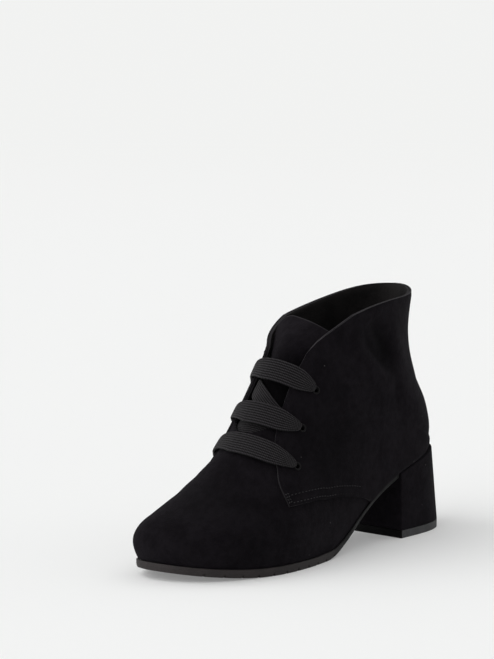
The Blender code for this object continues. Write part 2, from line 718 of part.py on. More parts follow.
def build_insole(material):
    """Insole board lying on sole and heel inside the upper, as the sole outline drawn in."""
    front = float(outline(LATERAL, 0.0)[0][0])
    back = float(outline(LATERAL, 0.0)[-1][0])
    rings = []
    for step in range(INSOLE_RINGS + 1):
        share = mix(INSOLE_BLUNT, 1 - INSOLE_BLUNT, (1 - math.cos(math.pi * step / INSOLE_RINGS)) / 2)
        outer = outline_y(mix(back, front, share), LATERAL, 0.0)
        inner = outline_y(mix(back, front, share), MEDIAL, 0.0)
        centre = (outer + inner) / 2
        half = (outer - inner) / 2
        half -= INSOLE_INSET * half / (half + INSOLE_INSET)
        x = mix(back + INSOLE_END, front - INSOLE_END, share)
        low = feather_height(x) + GAP
        high = low + INSOLE_THICKNESS
        left, right = centre - half, centre + half
        rings.append(((x, left, low), (x, right, low), (x, right, high), (x, left, high)))
    return loft("insole", rings, material)


def band(name, centre, widths, near, far, material):
    """Flat lace: a strip on the last along centre places, between two heights over it."""
    grids = []
    for heights in (far, near):
        grid = []
        for (station, share, side), width, height in zip(centre, widths, heights):
            line = []
            after = last_point(station + 0.5, share, side)
            before = last_point(station - 0.5, share, side)
            spacing = float(np.linalg.norm(after - before))
            for slide in (-0.5, 0.0, 0.5):
                moved = station + slide * width / spacing
                line.append(offset_point(moved, share, side, height))
            grid.append(line)
        grids.append(grid)
    return new_object(name, wall_mesh([grids[0]], [grids[1]]), material)


def build_bar(lacing, material):
    """Lace bar over the facings, from one eyelet to the other."""
    near, far, centre, widths = [], [], [], []
    rest = OVERLAY_GAP + QUARTER_WALL + LACE_GAP
    for step in range(-BAR_STEPS, BAR_STEPS + 1):
        share = abs(step) / BAR_STEPS
        side = LATERAL if step >= 0 else MEDIAL
        reach = lacing.reach / 100 * share * BAR_STOP
        station = mix(lacing.middle, lacing.station, (share * BAR_STOP) ** 2)
        centre.append((station, reach, side))
        taper = max(share - BAR_TAPER_START, 0.0) / (1 - BAR_TAPER_START)
        widths.append(mix(LACE_WIDTH, LACE_TIP_WIDTH, taper**1.5))
        near.append(rest)
        far.append(rest + LACE_THICKNESS)
    return band("lace_bar_%d" % lacing.number, centre, widths, near, far, material)


def build_cross(lower, upper, material):
    """Lace run under the facings, from the outer eyelet of one pair to the inner eyelet of the next."""
    centre, widths, near, far = [], [], [], []
    middle = (lower.middle + upper.middle) / 2
    for step in range(-CROSS_STEPS, CROSS_STEPS + 1):
        share = abs(step) / CROSS_STEPS * CROSS_STOP
        side = LATERAL if step >= 0 else MEDIAL
        end = lower if side == LATERAL else upper
        centre.append((mix(middle, end.station, share), end.reach / 100 * share, side))
        taper = max(share - CROSS_TAPER_START, 0.0) / (CROSS_STOP - CROSS_TAPER_START)
        widths.append(mix(LACE_CROSS_WIDTH, LACE_TIP_WIDTH, taper))
        far.append(-UPPER_WALL - CROSSING_GAP)
        near.append(-UPPER_WALL - CROSSING_GAP - LACE_THICKNESS)
    return band("lace_cross_%d" % lower.number, centre, widths, near, far, material)


def eyelet_place(lacing, side):
    """Place and turn of an eyelet on the last, its axis out of the quarter."""
    share = lacing.reach / 100
    normal = Vector(last_normal(lacing.station, share, side))
    point = Vector(last_point(lacing.station, share, side))
    turn = normal.to_track_quat("Z", "Y").to_matrix().to_4x4()
    return Matrix.Translation(point) @ turn


def eyelet_profile():
    """Half profile of an eyelet, radius and height: flange on the quarter and barrel through the walls."""
    top = OVERLAY_GAP + QUARTER_WALL + EYELET_SEAT_GAP
    foot = -UPPER_WALL
    return (
        (EYELET_HOLE, foot),
        (EYELET_BARREL, foot),
        (EYELET_BARREL, top),
        (EYELET_FLANGE, top),
        (EYELET_FLANGE - EYELET_FLANGE_ROUND, top + EYELET_FLANGE_HEIGHT),
        (EYELET_HOLE, top + EYELET_FLANGE_HEIGHT),
    )


def build_eyelet(name, lacing, side, material):
    """Small metal eyelet, turned and set square to the quarter."""
    bm = bmesh.new()
    profile = [bm.verts.new((radius, 0.0, height)) for radius, height in eyelet_profile()]
    edges = [bm.edges.new((start, end)) for start, end in zip(profile, profile[1:] + profile[:1])]
    bmesh.ops.spin(
        bm,
        geom=profile + edges,
        axis=(0, 0, 1),
        cent=(0, 0, 0),
        steps=EYELET_SIDES,
        angle=math.tau,
        use_merge=True,
    )
    bmesh.ops.transform(bm, matrix=eyelet_place(lacing, side), verts=bm.verts)
    return new_object(name, bm, material)


def cut_eyelet_holes(pieces):
    """Holes through upper and quarters for the eyelet barrels."""
    bm = bmesh.new()
    for lacing in LACING:
        for side in (LATERAL, MEDIAL):
            bmesh.ops.create_cone(
                bm,
                cap_ends=True,
                segments=EYELET_SIDES,
                radius1=EYELET_BARREL + EYELET_BORE_CLEARANCE,
                radius2=EYELET_BARREL + EYELET_BORE_CLEARANCE,
                depth=EYELET_CUT_DEPTH,
                matrix=eyelet_place(lacing, side),
            )
    mesh = bpy.data.meshes.new("eyelet_cutter")
    bm.to_mesh(mesh)
    bm.free()
    cutter = bpy.data.objects.new("eyelet_cutter", mesh)
    bpy.context.scene.collection.objects.link(cutter)
    cutter.hide_render = True
    cutter.display_type = "WIRE"
    for piece in pieces:
        hole = piece.modifiers.new("eyelet_holes", "BOOLEAN")
        hole.operation = "DIFFERENCE"
        hole.solver = "EXACT"
        hole.object = cutter


def build():
    """All pieces of the boot."""
    for old in list(bpy.data.objects):
        bpy.data.objects.remove(old, do_unlink=True)
    suede = new_material("suede", SUEDE)
    lining = new_material("lining", LINING)
    rubber = new_material("rubber", RUBBER)
    lace = new_material("lace", LACE)
    metal = new_material("eyelet_metal", EYELET_METAL)
    upper = build_upper(suede)
    quarters = [
        build_quarter("quarter_lateral", LATERAL, suede),
        build_quarter("quarter_medial", MEDIAL, suede),
    ]
    build_tongue(suede)
    build_insole(lining)
    build_outsole(rubber)
    build_heel(suede, rubber)
    for lacing in LACING:
        build_bar(lacing, lace)
        build_eyelet("eyelet_lateral_%d" % lacing.number, lacing, LATERAL, metal)
        build_eyelet("eyelet_medial_%d" % lacing.number, lacing, MEDIAL, metal)
    for lower, upper_pair in zip(LACING, LACING[1:]):
        build_cross(lower, upper_pair, lace)
    cut_eyelet_holes([upper] + quarters)


build()
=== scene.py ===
"""Looks of a left ankle boot in black suede: upper, tongue, ribbed lace, rubber sole, covered heel.

Units are metres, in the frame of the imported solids: +X to the toe, +Y to the outer side, +Z up.
The upper is drawn over a last, as on the bench: each half section of the last runs from the ridge of
the foot down to the sole edge, or round to the centre back.
"""

import logging
import math
from dataclasses import dataclass, field
from enum import Enum
from typing import NamedTuple, Sequence

import bpy
import numpy as np
from mathutils import Matrix, Vector


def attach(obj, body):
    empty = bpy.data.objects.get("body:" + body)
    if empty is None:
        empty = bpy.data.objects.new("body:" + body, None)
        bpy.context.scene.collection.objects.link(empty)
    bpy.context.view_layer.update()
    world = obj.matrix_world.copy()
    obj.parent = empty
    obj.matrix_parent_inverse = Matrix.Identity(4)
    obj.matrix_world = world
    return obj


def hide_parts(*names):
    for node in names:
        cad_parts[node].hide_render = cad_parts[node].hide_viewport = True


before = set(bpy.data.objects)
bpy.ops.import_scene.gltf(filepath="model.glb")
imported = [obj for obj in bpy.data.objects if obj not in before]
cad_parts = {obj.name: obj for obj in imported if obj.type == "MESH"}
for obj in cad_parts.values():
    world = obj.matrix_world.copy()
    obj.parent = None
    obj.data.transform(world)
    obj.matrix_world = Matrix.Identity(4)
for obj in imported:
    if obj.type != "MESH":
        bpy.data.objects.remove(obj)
log = logging.getLogger("ankle_boot")

ROOT = "root"
MM = 0.001
# Attribute holding the share of painted shade on the suede: in creases, in shade patches and on the lower
# tongue.
PAINTED_SHADE_ATTRIBUTE = "hollow"


class Side(Enum):
    """Outer and inner side of the left foot, with the sign of Y there."""

    LATERAL = 1
    MEDIAL = -1

    @property
    def word(self) -> str:
        """Name of the side in piece and node names."""
        return self.name.lower()


class Slot(Enum):
    """Material slots of the record."""

    SUEDE = "suede"
    LINING = "lining"
    RUBBER = "rubber"
    LACE = "lace"
    METAL = "eyelet_metal"


class Section(NamedTuple):
    """One section of the last.

    ridge_x, base_x, shoulder and turn are percent of the length: a half section has its full width
    from shoulder to turn, measured from the ridge. ridge_z is percent of the instep height, swing and
    the half widths percent of the ball width, rise percent of the way up the back, tuck degrees,
    bows millimetres.
    """

    place: str
    ridge_x: float
    ridge_z: float
    base_x: float
    rise: float
    swing: float
    lateral: float
    medial: float
    foot_lateral: float
    foot_medial: float
    shoulder: float
    turn: float
    crown: float
    flank: float
    tuck: float
    bow_lateral: float
    bow_medial: float


SECTIONS = (
    Section("tip", 49.6, 8.54, 49.6, 0, -16.0, 0.0, 0.0, 0.0, 0.0, 0.0, 0.0, 0.55, 0.55, 10, 0, 0),
    Section("nose", 50.2, 15.2, 48.7, 0, -16.0, 15.4, 11.1, 14.2, 10.3, 2.4, 2.4, 0.60, 0.55, 10, 0, 0),
    Section("toe", 49.4, 22.0, 46.0, 0, -14.8, 29.6, 20.9, 27.8, 20.0, 5.1, 5.1, 0.60, 0.55, 10, 0, 0),
    Section("toe_top", 46.2, 27.2, 41.3, 0, -12.3, 40.7, 29.9, 38.3, 28.2, 7.5, 7.5, 0.60, 0.55, 10, 0, 0),
    Section("cap", 41.3, 31.2, 34.0, 0, -8.6, 49.4, 39.5, 46.3, 37.7, 10.1, 10.1, 0.58, 0.55, 10, 0, 0),
    Section("joint", 34.9, 37.6, 24.7, 0, -4.9, 53.7, 46.3, 50.6, 44.4, 13.5, 13.5, 0.56, 0.55, 10, 0, 0),
    Section("vamp", 28.5, 46.4, 14.9, 0, -2.5, 53.1, 46.9, 49.4, 44.4, 17.3, 17.3, 0.54, 0.55, 10, 0, 0),
    Section("throat", 23.0, 56.4, 5.1, 0, 0.0, 48.1, 43.2, 43.2, 38.3, 20.4, 20.4, 0.53, 0.55, 12, 0, 0),
    Section("instep", 18.5, 67.2, -6.0, 0, 0.0, 43.2, 40.7, 37.7, 32.1, 22.5, 22.5, 0.54, 0.55, 14, 0, 0),
    Section("shank", 14.7, 78.0, -18.7, 0, 0.0, 39.5, 38.3, 33.3, 30.9, 24.3, 25.0, 0.54, 0.55, 20, 0, 0),
    Section("seat", 11.5, 87.2, -33.2, 0, 0.0, 37.7, 37.0, 33.7, 32.7, 26.0, 31.0, 0.54, 0.55, 30, 0, 0),
    Section("corner", 8.5, 95.6, -49.1, 0, 0.0, 35.8, 35.4, 33.7, 32.7, 27.0, 44.5, 0.55, 0.60, 30, 1, 1),
    Section("heel", 7.9, 97.2, -49.1, 20, 0.0, 35.0, 35.0, 33.7, 32.7, 27.2, 38.0, 0.55, 0.60, 30, 3, 2),
    Section("ankle", 7.4, 98.4, -49.1, 44, 0.0, 34.2, 34.4, 33.7, 32.7, 26.6, 28.6, 0.55, 0.58, 30, 5, 3),
    Section("cuff", 7.1, 99.4, -49.1, 73, 0.0, 34.0, 34.0, 33.7, 32.7, 24.2, 24.6, 0.55, 0.56, 30, 7, 4),
    Section("collar", 6.8, 100, -49.1, 100, 0.0, 35.2, 34.0, 33.7, 32.7, 25.0, 25.6, 0.55, 0.58, 30, 9, 6),
)
STATION = {section.place: number for number, section in enumerate(SECTIONS)}
TOP_STATION = len(SECTIONS) - 1


# Sole edge in side view: x percent of the length, height percent of the heel height
FEATHER_LINE = (
    (-50.6, 100.0), (-39.1, 89.0), (-28.9, 76.0), (-20.4, 59.2), (-11.9, 38.9), (-5.1, 22.4), (0.9, 12.1),
    (7.7, 9.6), (17.0, 9.6), (25.5, 9.9), (34.0, 11.4), (42.6, 15.2), (51.1, 20.6),
)

# Centre back: percent of the way from heel seat to collar, x percent of the length
BACK_LINE = (
    (0, -49.1), (10, -49.7), (22, -49.0), (38, -46.1), (57, -43.1), (73, -42.2), (87, -42.6), (100, -43.4),
)

# Front edge of the quarter: place between the sections, percent of the half section
FACING_EDGE = (
    (6.20, 55.0), (6.45, 42.5), (6.95, 30.5), (7.50, 22.0), (8.20, 16.8), (9.00, 14.4), (10.0, 12.0),
    (10.75, 10.85), (10.9, 10.5), (11.0, 9.95), (11.1, 10.0), (11.5, 10.35), (12.0, 10.85), (12.7, 12.2),
    (13.6, 15.9), (14.1, 19.0), (14.5, 23.6), (14.75, 28.4), (14.92, 33.0), (15.0, 36.0),
)

# Lower seam of the quarter: percent of the half section, place between the sections
QUARTER_SEAM = (
    (55.0, 6.20), (58.5, 7.00), (67.5, 7.80), (79.0, 8.35), (87.0, 8.60), (93.5, 8.75), (100.0, 8.83),
)


class TongueRow(NamedTuple):
    """Row of the tongue: place between the sections, depth under the last and half width in
    millimetres, share of the last's curve, factor on the width, drop towards the outer side as a share
    of the width, and how far the row is carried back and up past the lacing in millimetres."""

    station: float
    depth: float
    half_width: float
    curl: float
    widen: float
    skew: float
    back: float
    up: float


TONGUE_ROWS = (
    TongueRow(6.5, 2.0, 15.0, 1.00, 1.00, 0.00, 0.0, 0.0),
    TongueRow(7.0, 4.0, 19.5, 1.00, 1.00, 0.00, 0.0, 0.0),
    TongueRow(7.4, 4.6, 21.5, 1.00, 1.00, 0.00, 0.0, 0.0),
    TongueRow(7.9, 4.6, 23.0, 1.00, 1.00, 0.00, 0.0, 0.0),
    TongueRow(8.6, 4.6, 25.0, 1.00, 1.00, 0.00, 0.0, 0.0),
    TongueRow(9.4, 4.6, 26.5, 1.00, 1.00, 0.00, 0.0, 0.0),
    TongueRow(10.2, 4.6, 27.5, 1.00, 1.00, 0.00, 0.0, 0.0),
    TongueRow(10.8, 4.6, 27.5, 1.00, 1.00, 0.00, 0.0, 0.0),
    TongueRow(10.8, 4.6, 27.5, 0.85, 0.97, 0.02, 5.0, 7.0),
    TongueRow(10.8, 4.6, 27.5, 0.65, 1.05, 0.06, 11.5, 13.3),
    TongueRow(10.8, 4.6, 27.5, 0.45, 1.14, 0.11, 18.0, 18.5),
    TongueRow(10.8, 4.6, 27.5, 0.30, 1.21, 0.16, 23.5, 22.3),
    TongueRow(10.8, 4.6, 27.5, 0.26, 1.25, 0.19, 26.5, 24.4),
)


class Lacing(NamedTuple):
    """Pair of eyelets: its number from the toe up, place between the sections, percent of the half
    section from the ridge, and place of the bar's middle on the ridge."""

    number: int
    station: float
    reach: float
    middle: float


LACING = (
    Lacing(1, 7.50, 37.5, 7.08),
    Lacing(2, 8.65, 28.3, 8.33),
    Lacing(3, 10.14, 22.5, 10.28),
)


class Crossing(NamedTuple):
    """Run of the lace under the facings, from the outer eyelet of one pair to the inner eyelet of the next.

    Each place is a station and a percent of the half section, over zero on the outer side.
    """

    number: int
    places: tuple[tuple[float, float], ...]


CROSSINGS = (
    Crossing(
        1,
        ((7.58, 33.0), (7.70, 26.0), (7.85, 19.5), (8.00, 13.0), (7.98, 4.0), (8.02, -9.0), (8.45, -24.0)),
    ),
    Crossing(
        2,
        ((8.66, 25.0), (8.62, 20.0), (8.64, 13.0), (8.85, 5.0), (9.30, -4.0), (9.75, -12.0), (10.08, -19.5)),
    ),
)


class Crease(NamedTuple):
    """Soft trough, or ridge where the depth is negative, along places on the last.

    A place is a station and a percent of the half section. Depth and width are millimetres.
    """

    side: Side
    line: tuple[tuple[float, float], ...]
    depth: float
    width: float


CREASES = (
    Crease(Side.LATERAL, ((14.5, 47.5), (14.0, 50.5), (13.6, 54.0), (13.1, 57.5), (12.6, 59.5)), 2.9, 7.5),
    Crease(Side.LATERAL, ((14.1, 42.5), (13.55, 43.5), (13.2, 46.0), (12.9, 50.0), (12.7, 55.0)), 1.8, 3.2),
    Crease(Side.LATERAL, ((14.2, 36.0), (13.5, 37.0), (12.95, 40.5), (12.6, 45.5), (12.3, 52.0)), -1.2, 4.5),
    Crease(Side.LATERAL, ((14.4, 64.0), (13.7, 67.0), (13.0, 70.0)), -0.8, 5.5),
    Crease(Side.LATERAL, ((12.7, 58.5), (12.2, 58.5), (11.7, 58.0), (11.3, 57.0)), 0.9, 3.0),
    Crease(Side.LATERAL, ((13.2, 92.0), (12.6, 84.0), (12.1, 76.0)), 0.7, 4.5),
    Crease(Side.LATERAL, ((11.6, 60.0), (11.2, 52.0), (10.7, 45.0)), 0.5, 6.0),
    Crease(Side.LATERAL, ((4.9, 22.0), (5.1, 36.0), (5.5, 52.0)), 0.35, 4.0),
    Crease(Side.LATERAL, ((5.7, 8.0), (5.8, 22.0), (6.0, 36.0)), 0.30, 3.5),
    Crease(Side.LATERAL, ((2.3, 26.0), (2.5, 44.0), (2.9, 58.0)), 0.25, 5.0),
    Crease(Side.LATERAL, ((9.0, 40.0), (9.6, 48.0), (10.2, 56.0)), 0.4, 6.0),
    Crease(Side.MEDIAL, ((14.5, 46.0), (13.7, 50.0), (12.8, 56.0)), 1.4, 6.0),
    Crease(Side.MEDIAL, ((13.2, 92.0), (12.6, 84.0), (12.1, 76.0)), 0.6, 4.5),
    Crease(Side.MEDIAL, ((4.9, 18.0), (5.1, 32.0), (5.6, 50.0)), 0.35, 4.0),
    Crease(Side.MEDIAL, ((5.7, 10.0), (5.9, 26.0), (6.2, 40.0)), 0.30, 3.5),
    Crease(Side.MEDIAL, ((9.0, 42.0), (9.6, 50.0), (10.2, 60.0)), 0.4, 6.0),
)


class ShadePatch(NamedTuple):
    """Soft round patch of painted shade, where the suede's colour is darkened for the lower light falling
    there.

    Its middle is a station and a percent of the half section, its reach millimetres.
    """

    side: Side
    station: float
    share: float
    reach: float
    amount: float


# Painted shade: the patches darken the suede where less light falls on the quarters and the vamp.
SHADE_PATCHES = (
    ShadePatch(Side.LATERAL, 8.6, 55.0, 34.0, 0.45),
    ShadePatch(Side.LATERAL, 4.8, 10.0, 24.0, 0.42),
    ShadePatch(Side.LATERAL, 5.0, 80.0, 26.0, 0.25),
    ShadePatch(Side.MEDIAL, 8.6, 55.0, 34.0, 0.35),
)


def mix(start, end, share):
    """Value or array part of the way from start to end."""
    return start + (end - start) * share


def smooth(knots: Sequence[float], values: Sequence[float], at) -> np.ndarray:
    """Smooth curve through values at knots.

    Args:
        knots: Rising places of the values.
        values: Values to pass through.
        at: Places to read, one or an array.

    Returns:
        The curve at those places.
    """
    knots = np.asarray(knots, float)
    values = np.asarray(values, float)
    at = np.asarray(at, float)
    steps = np.diff(knots)
    slopes = np.diff(values) / steps
    tangents = np.empty_like(values)
    tangents[1:-1] = (slopes[:-1] * steps[1:] + slopes[1:] * steps[:-1]) / (steps[:-1] + steps[1:])
    tangents[0] = 1.5 * slopes[0] - 0.5 * tangents[1]
    tangents[-1] = 1.5 * slopes[-1] - 0.5 * tangents[-2]
    left = np.clip(np.searchsorted(knots, at, side="right") - 1, 0, len(knots) - 2)
    t = (at - knots[left]) / steps[left]
    value = (2 * t**3 - 3 * t**2 + 1) * values[left] + (3 * t**2 - 2 * t**3) * values[left + 1]
    value = value + (t**3 - 2 * t**2 + t) * steps[left] * tangents[left]
    return value + (t**3 - t**2) * steps[left] * tangents[left + 1]


def column(table: Sequence[NamedTuple], name: str) -> list[float]:
    """One named column of a table."""
    return [getattr(row, name) for row in table]


def read(table: Sequence[tuple[float, float]], at) -> np.ndarray:
    """Smooth curve through a table of places and values, read at places."""
    places, values = zip(*table)
    return smooth(places, values, at)


def eased(steps: np.ndarray) -> np.ndarray:
    """Shares from 0 to 1 that lie closer together at both ends."""
    return mix(steps, (1 - np.cos(np.pi * steps)) / 2, 0.6)


def unit(vectors: np.ndarray) -> np.ndarray:
    """Vectors of length one."""
    return vectors / np.maximum(np.linalg.norm(vectors, axis=-1, keepdims=True), 1e-12)


def run_lengths(line: np.ndarray) -> np.ndarray:
    """Distance along a line at each of its points."""
    return np.concatenate([[0.0], np.cumsum(np.linalg.norm(np.diff(line, axis=0), axis=1))])


def side_of(signed: float) -> Side:
    """Side on which a place lies that is over zero on the outer side."""
    return Side.LATERAL if signed >= 0 else Side.MEDIAL


def resample(line: np.ndarray, count: int) -> np.ndarray:
    """Points of a line at equal distances.

    Args:
        line: Points of the line.
        count: How many points to give back.

    Returns:
        The points, both ends included.
    """
    lengths = run_lengths(line)
    at = np.linspace(0.0, lengths[-1], count)
    return np.stack([np.interp(at, lengths, line[:, axis]) for axis in range(3)], axis=1)


# Rises that make up a section's bow on each side: share of the bow, power that carries its peak back
BOW_RISES = {Side.LATERAL: ((0.99, 0.75), (-0.28, 4.5)), Side.MEDIAL: ((0.90, 0.35), (0.21, 4.5))}


@dataclass
class Last:
    """The last that the upper is drawn over, as a fine grid of points and outward directions."""

    length: float = 0.2350
    ball_width: float = 0.0810
    instep_height: float = 0.1250
    heel_height: float = 0.0545
    collar_height: float = 0.1540
    frame_shift: float = 0.0015
    heel_roundness: float = 2.2
    heel_plan_ratio: float = 0.75
    steps_per_section: int = 24
    share_count: int = 161
    arc_count: int = 60
    stations: np.ndarray = field(init=False)
    points: dict = field(init=False, default_factory=dict)
    normals: dict = field(init=False, default_factory=dict)
    lengths: dict = field(init=False, default_factory=dict)

    def __post_init__(self) -> None:
        """Works out the grid of both sides."""
        even = np.linspace(0.0, TOP_STATION, TOP_STATION * self.steps_per_section + 1)
        near_corner = STATION["corner"] - np.geomspace(0.0005, 0.035, 10)
        near_tip = np.geomspace(0.002, 0.035, 8)
        self.stations = np.unique(np.round(np.concatenate([even, near_corner, near_tip]), 6))
        sizes = self.section_sizes(self.stations)
        for side in Side:
            rows = [self.half_section(sizes, number, side) for number in range(len(self.stations))]
            self.points[side] = np.array([row[0] for row in rows])
            self.lengths[side] = np.array([row[1] for row in rows])
            self.normals[side] = self.outward(self.points[side], side)

    def feather_height(self, x) -> np.ndarray:
        """Height of the sole edge, where upper and sole meet, at x."""
        share = (np.asarray(x, float) - self.frame_shift) / self.length * 100
        return read(FEATHER_LINE, share) / 100 * self.heel_height

    def along(self, percent) -> np.ndarray:
        """Place on the X axis of a percentage of the length."""
        return np.asarray(percent, float) / 100 * self.length + self.frame_shift

    def base_line(self, stations: np.ndarray) -> tuple[np.ndarray, np.ndarray]:
        """Base line, along the sole edge to the heel corner and then up the centre back.

        Args:
            stations: Places between the sections.

        Returns:
            X and Z of the base line there.
        """
        corner = STATION["corner"]
        ground = self.along(smooth(range(corner + 1), column(SECTIONS[: corner + 1], "base_x"), stations))
        rise = smooth(range(corner, TOP_STATION + 1), column(SECTIONS[corner:], "rise"), stations)
        foot = self.feather_height(self.along(SECTIONS[corner].base_x))
        behind = self.along(read(BACK_LINE, rise))
        x = np.where(stations <= corner, ground, behind)
        up_back = mix(foot, self.collar_height, rise / 100)
        z = np.where(stations <= corner, self.feather_height(ground), up_back)
        return x, z

    def section_sizes(self, stations: np.ndarray) -> dict[str, np.ndarray]:
        """Sizes of the sections at places between the rows of SECTIONS."""
        rows = range(len(SECTIONS))
        sizes = {name: smooth(rows, column(SECTIONS, name), stations) for name in Section._fields[1:]}
        base_x, base_z = self.base_line(stations)
        ridge_x = self.along(sizes["ridge_x"])
        ridge_z = sizes["ridge_z"] / 100 * self.instep_height
        start = self.along(SECTIONS[STATION["seat"]].base_x)
        end = self.along(SECTIONS[STATION["corner"]].base_x)
        way = np.clip((start - base_x) / (start - end), 0.0, 1.0)
        way = np.where(stations >= STATION["corner"], 1.0, way)
        left = (1 - way**self.heel_roundness) ** (1 / self.heel_roundness)
        power = self.heel_roundness - 1
        lean = np.abs(base_x - ridge_x) / np.maximum(np.hypot(base_x - ridge_x, base_z - ridge_z), 1e-9)
        turn = np.arctan2(lean * self.heel_plan_ratio * way**power, left**power)
        past_seat = stations > STATION["seat"]
        sizes["tuck"] = np.where(past_seat, mix(sizes["tuck"], 90.0, turn / (np.pi / 2)), sizes["tuck"])
        for name in ("foot_lateral", "foot_medial"):
            sizes[name] = np.where(past_seat, sizes[name] * left, sizes[name])
        sizes["base"] = np.stack([base_x, base_z], axis=1)
        sizes["ridge"] = np.stack([ridge_x, ridge_z], axis=1)
        return sizes

    def half_section(self, sizes: dict[str, np.ndarray], number: int, side: Side) -> tuple[np.ndarray, float]:
        """One half section from ridge to base.

        Args:
            sizes: Sizes from section_sizes.
            number: Row of those sizes.
            side: Side of the foot.

        Returns:
            Points at equal distances, and the length of the half section.
        """
        size = {name: values[number] for name, values in sizes.items()}
        widest = max(size[side.word], 0.0) / 100 * self.ball_width
        foot = min(max(size["foot_" + side.word], 0.0) / 100 * self.ball_width, widest)
        depth = max(math.dist(size["base"], size["ridge"]), 1e-9)
        down = (size["base"] - size["ridge"]) / depth
        shoulder = max(size["shoulder"], 0.0) / 100 * self.length
        turn = max(size["turn"], size["shoulder"], 0.0) / 100 * self.length
        tuck = math.radians(size["tuck"])
        crown, flank = size["crown"], size["flank"]
        crown_handle = (shoulder * (1 - crown), widest)
        upper_arc = self.arc((0, 0), (0, crown * widest), crown_handle, (shoulder, widest))
        room = min((depth - turn) / max(math.cos(tuck), 1e-6), (widest - foot) / max(math.sin(tuck), 1e-6))
        end_handle = (depth - flank * room * math.cos(tuck), foot + flank * room * math.sin(tuck))
        turn_handle = (turn + flank * (depth - turn), widest)
        lower_arc = self.arc((turn, widest), turn_handle, end_handle, (depth, foot))
        flat = np.vstack([upper_arc, lower_arc])
        along = np.clip(flat[:, 0] / depth, 0.0, 1.0)
        rise = sum(part * np.sin(np.pi * along**power) for part, power in BOW_RISES[side])
        lift = size["bow_" + side.word] * MM * rise
        x = size["ridge"][0] + down[0] * flat[:, 0] + down[1] * lift
        y = size["swing"] / 100 * self.ball_width + side.value * flat[:, 1]
        z = size["ridge"][1] + down[1] * flat[:, 0] - down[0] * lift
        line = np.stack([x, y, z], axis=1)
        return resample(line, self.share_count), float(run_lengths(line)[-1])

    def arc(self, start, start_handle, end_handle, end) -> np.ndarray:
        """Points of one cubic arc between two ends with their handles."""
        t = np.linspace(0.0, 1.0, self.arc_count)[:, None]
        points = (1 - t) ** 3 * np.array(start) + 3 * (1 - t) ** 2 * t * np.array(start_handle)
        return points + 3 * (1 - t) * t**2 * np.array(end_handle) + t**3 * np.array(end)

    def outward(self, points: np.ndarray, side: Side) -> np.ndarray:
        """Outward directions of one side's grid, in the middle plane on the ridge and the centre back."""
        along = np.gradient(points, self.stations, axis=0)
        down = np.gradient(points, axis=1)
        normals = unit(np.cross(down, along) * side.value)
        tip = np.clip(1 - self.stations / 0.3, 0.0, 1.0)[:, None, None]
        normals = mix(normals, np.array([1.0, 0.0, 0.0]), tip)
        for _ in range(3):
            normals[1:-1] = (normals[:-2] + 2 * normals[1:-1] + normals[2:]) / 4
        normals[:, 0, 1] = 0.0
        normals[self.stations >= STATION["corner"], -1, 1] = 0.0
        return unit(normals)

    def read_grid(self, grid: np.ndarray, station: np.ndarray, share: np.ndarray) -> np.ndarray:
        """Grid of points or directions, read between its rows and columns."""
        row = np.clip(np.searchsorted(self.stations, station, side="right") - 1, 0, len(self.stations) - 2)
        down = (station - self.stations[row]) / (self.stations[row + 1] - self.stations[row])
        place = np.clip(share, 0.0, 1.0) * (self.share_count - 1)
        left = np.clip(place.astype(int), 0, self.share_count - 2)
        across = (place - left)[..., None]
        down = np.clip(down, 0.0, 1.0)[..., None]
        before = mix(grid[row, left], grid[row, left + 1], across)
        after = mix(grid[row + 1, left], grid[row + 1, left + 1], across)
        return mix(before, after, down)

    def half_length(self, station, side: Side) -> np.ndarray:
        """Length of a half section from ridge to base."""
        return np.interp(station, self.stations, self.lengths[side])

    def normal(self, station, share, side: Side) -> np.ndarray:
        """Outward direction at places on the last."""
        station, share = np.broadcast_arrays(np.asarray(station, float), np.asarray(share, float))
        return unit(self.read_grid(self.normals[side], station, share))

    def place(self, station, share, side: Side, distance=0.0) -> np.ndarray:
        """Points at a distance out from the last, kept at or above the sole edge.

        Args:
            station: Places between the sections.
            share: Shares of the half section from the ridge.
            side: Side of the foot.
            distance: Distance out, one or an array.

        Returns:
            The points.
        """
        station, share = np.broadcast_arrays(np.asarray(station, float), np.asarray(share, float))
        points = self.read_grid(self.points[side], station, share)
        points = points + self.normal(station, share, side) * np.asarray(distance)[..., None]
        points[..., 2] = np.maximum(points[..., 2], self.feather_height(points[..., 0]))
        return points

    def outline(self, side: Side, margin: float) -> np.ndarray:
        """Sole edge of one side in plan, moved out by a margin, from toe to heel."""
        stations = (1 - np.cos(np.linspace(0.0, np.pi, 481))) / 2 * STATION["corner"]
        edge = self.place(stations, np.ones_like(stations), side)[:, :2]
        run = unit(np.gradient(edge, axis=0))
        outward = np.stack([-run[:, 1], run[:, 0]], axis=1) * -side.value
        outward[0] = (1.0, 0.0)
        outward[-1] = (-1.0, 0.0)
        return edge + outward * margin

    def outline_y(self, x, side: Side, margin: float) -> np.ndarray:
        """Place of the outline at x on one side."""
        edge = self.outline(side, margin)
        run = np.maximum.accumulate(edge[::-1, 0])
        return np.interp(x, run, edge[::-1, 1])

    def relief(self, points: np.ndarray, creases: Sequence[Crease], side: Side) -> np.ndarray:
        """Distance out that the creases of one side move points.

        Args:
            points: Points on the last.
            creases: Troughs and ridges, of which those of the side count.
            side: Side of the foot.

        Returns:
            One distance for each point.
        """
        moved = np.zeros(points.shape[:-1])
        for crease in creases:
            if crease.side is not side:
                continue
            places = np.array(crease.line)
            line = self.place(places[:, 0], places[:, 1] / 100, side)
            moved -= crease.depth * MM * trough(points, resample(line, 24), crease.width * MM)
        return moved

    def brushed(self, points: np.ndarray, patches: Sequence[ShadePatch]) -> np.ndarray:
        """Share of painted shade that the patches lay at points."""
        share = np.zeros(points.shape[:-1])
        for patch in patches:
            middle = self.place(patch.station, patch.share / 100, patch.side)
            gap = np.linalg.norm(points - middle, axis=-1)
            share += patch.amount * np.exp(-((gap / (patch.reach * MM)) ** 2))
        return share


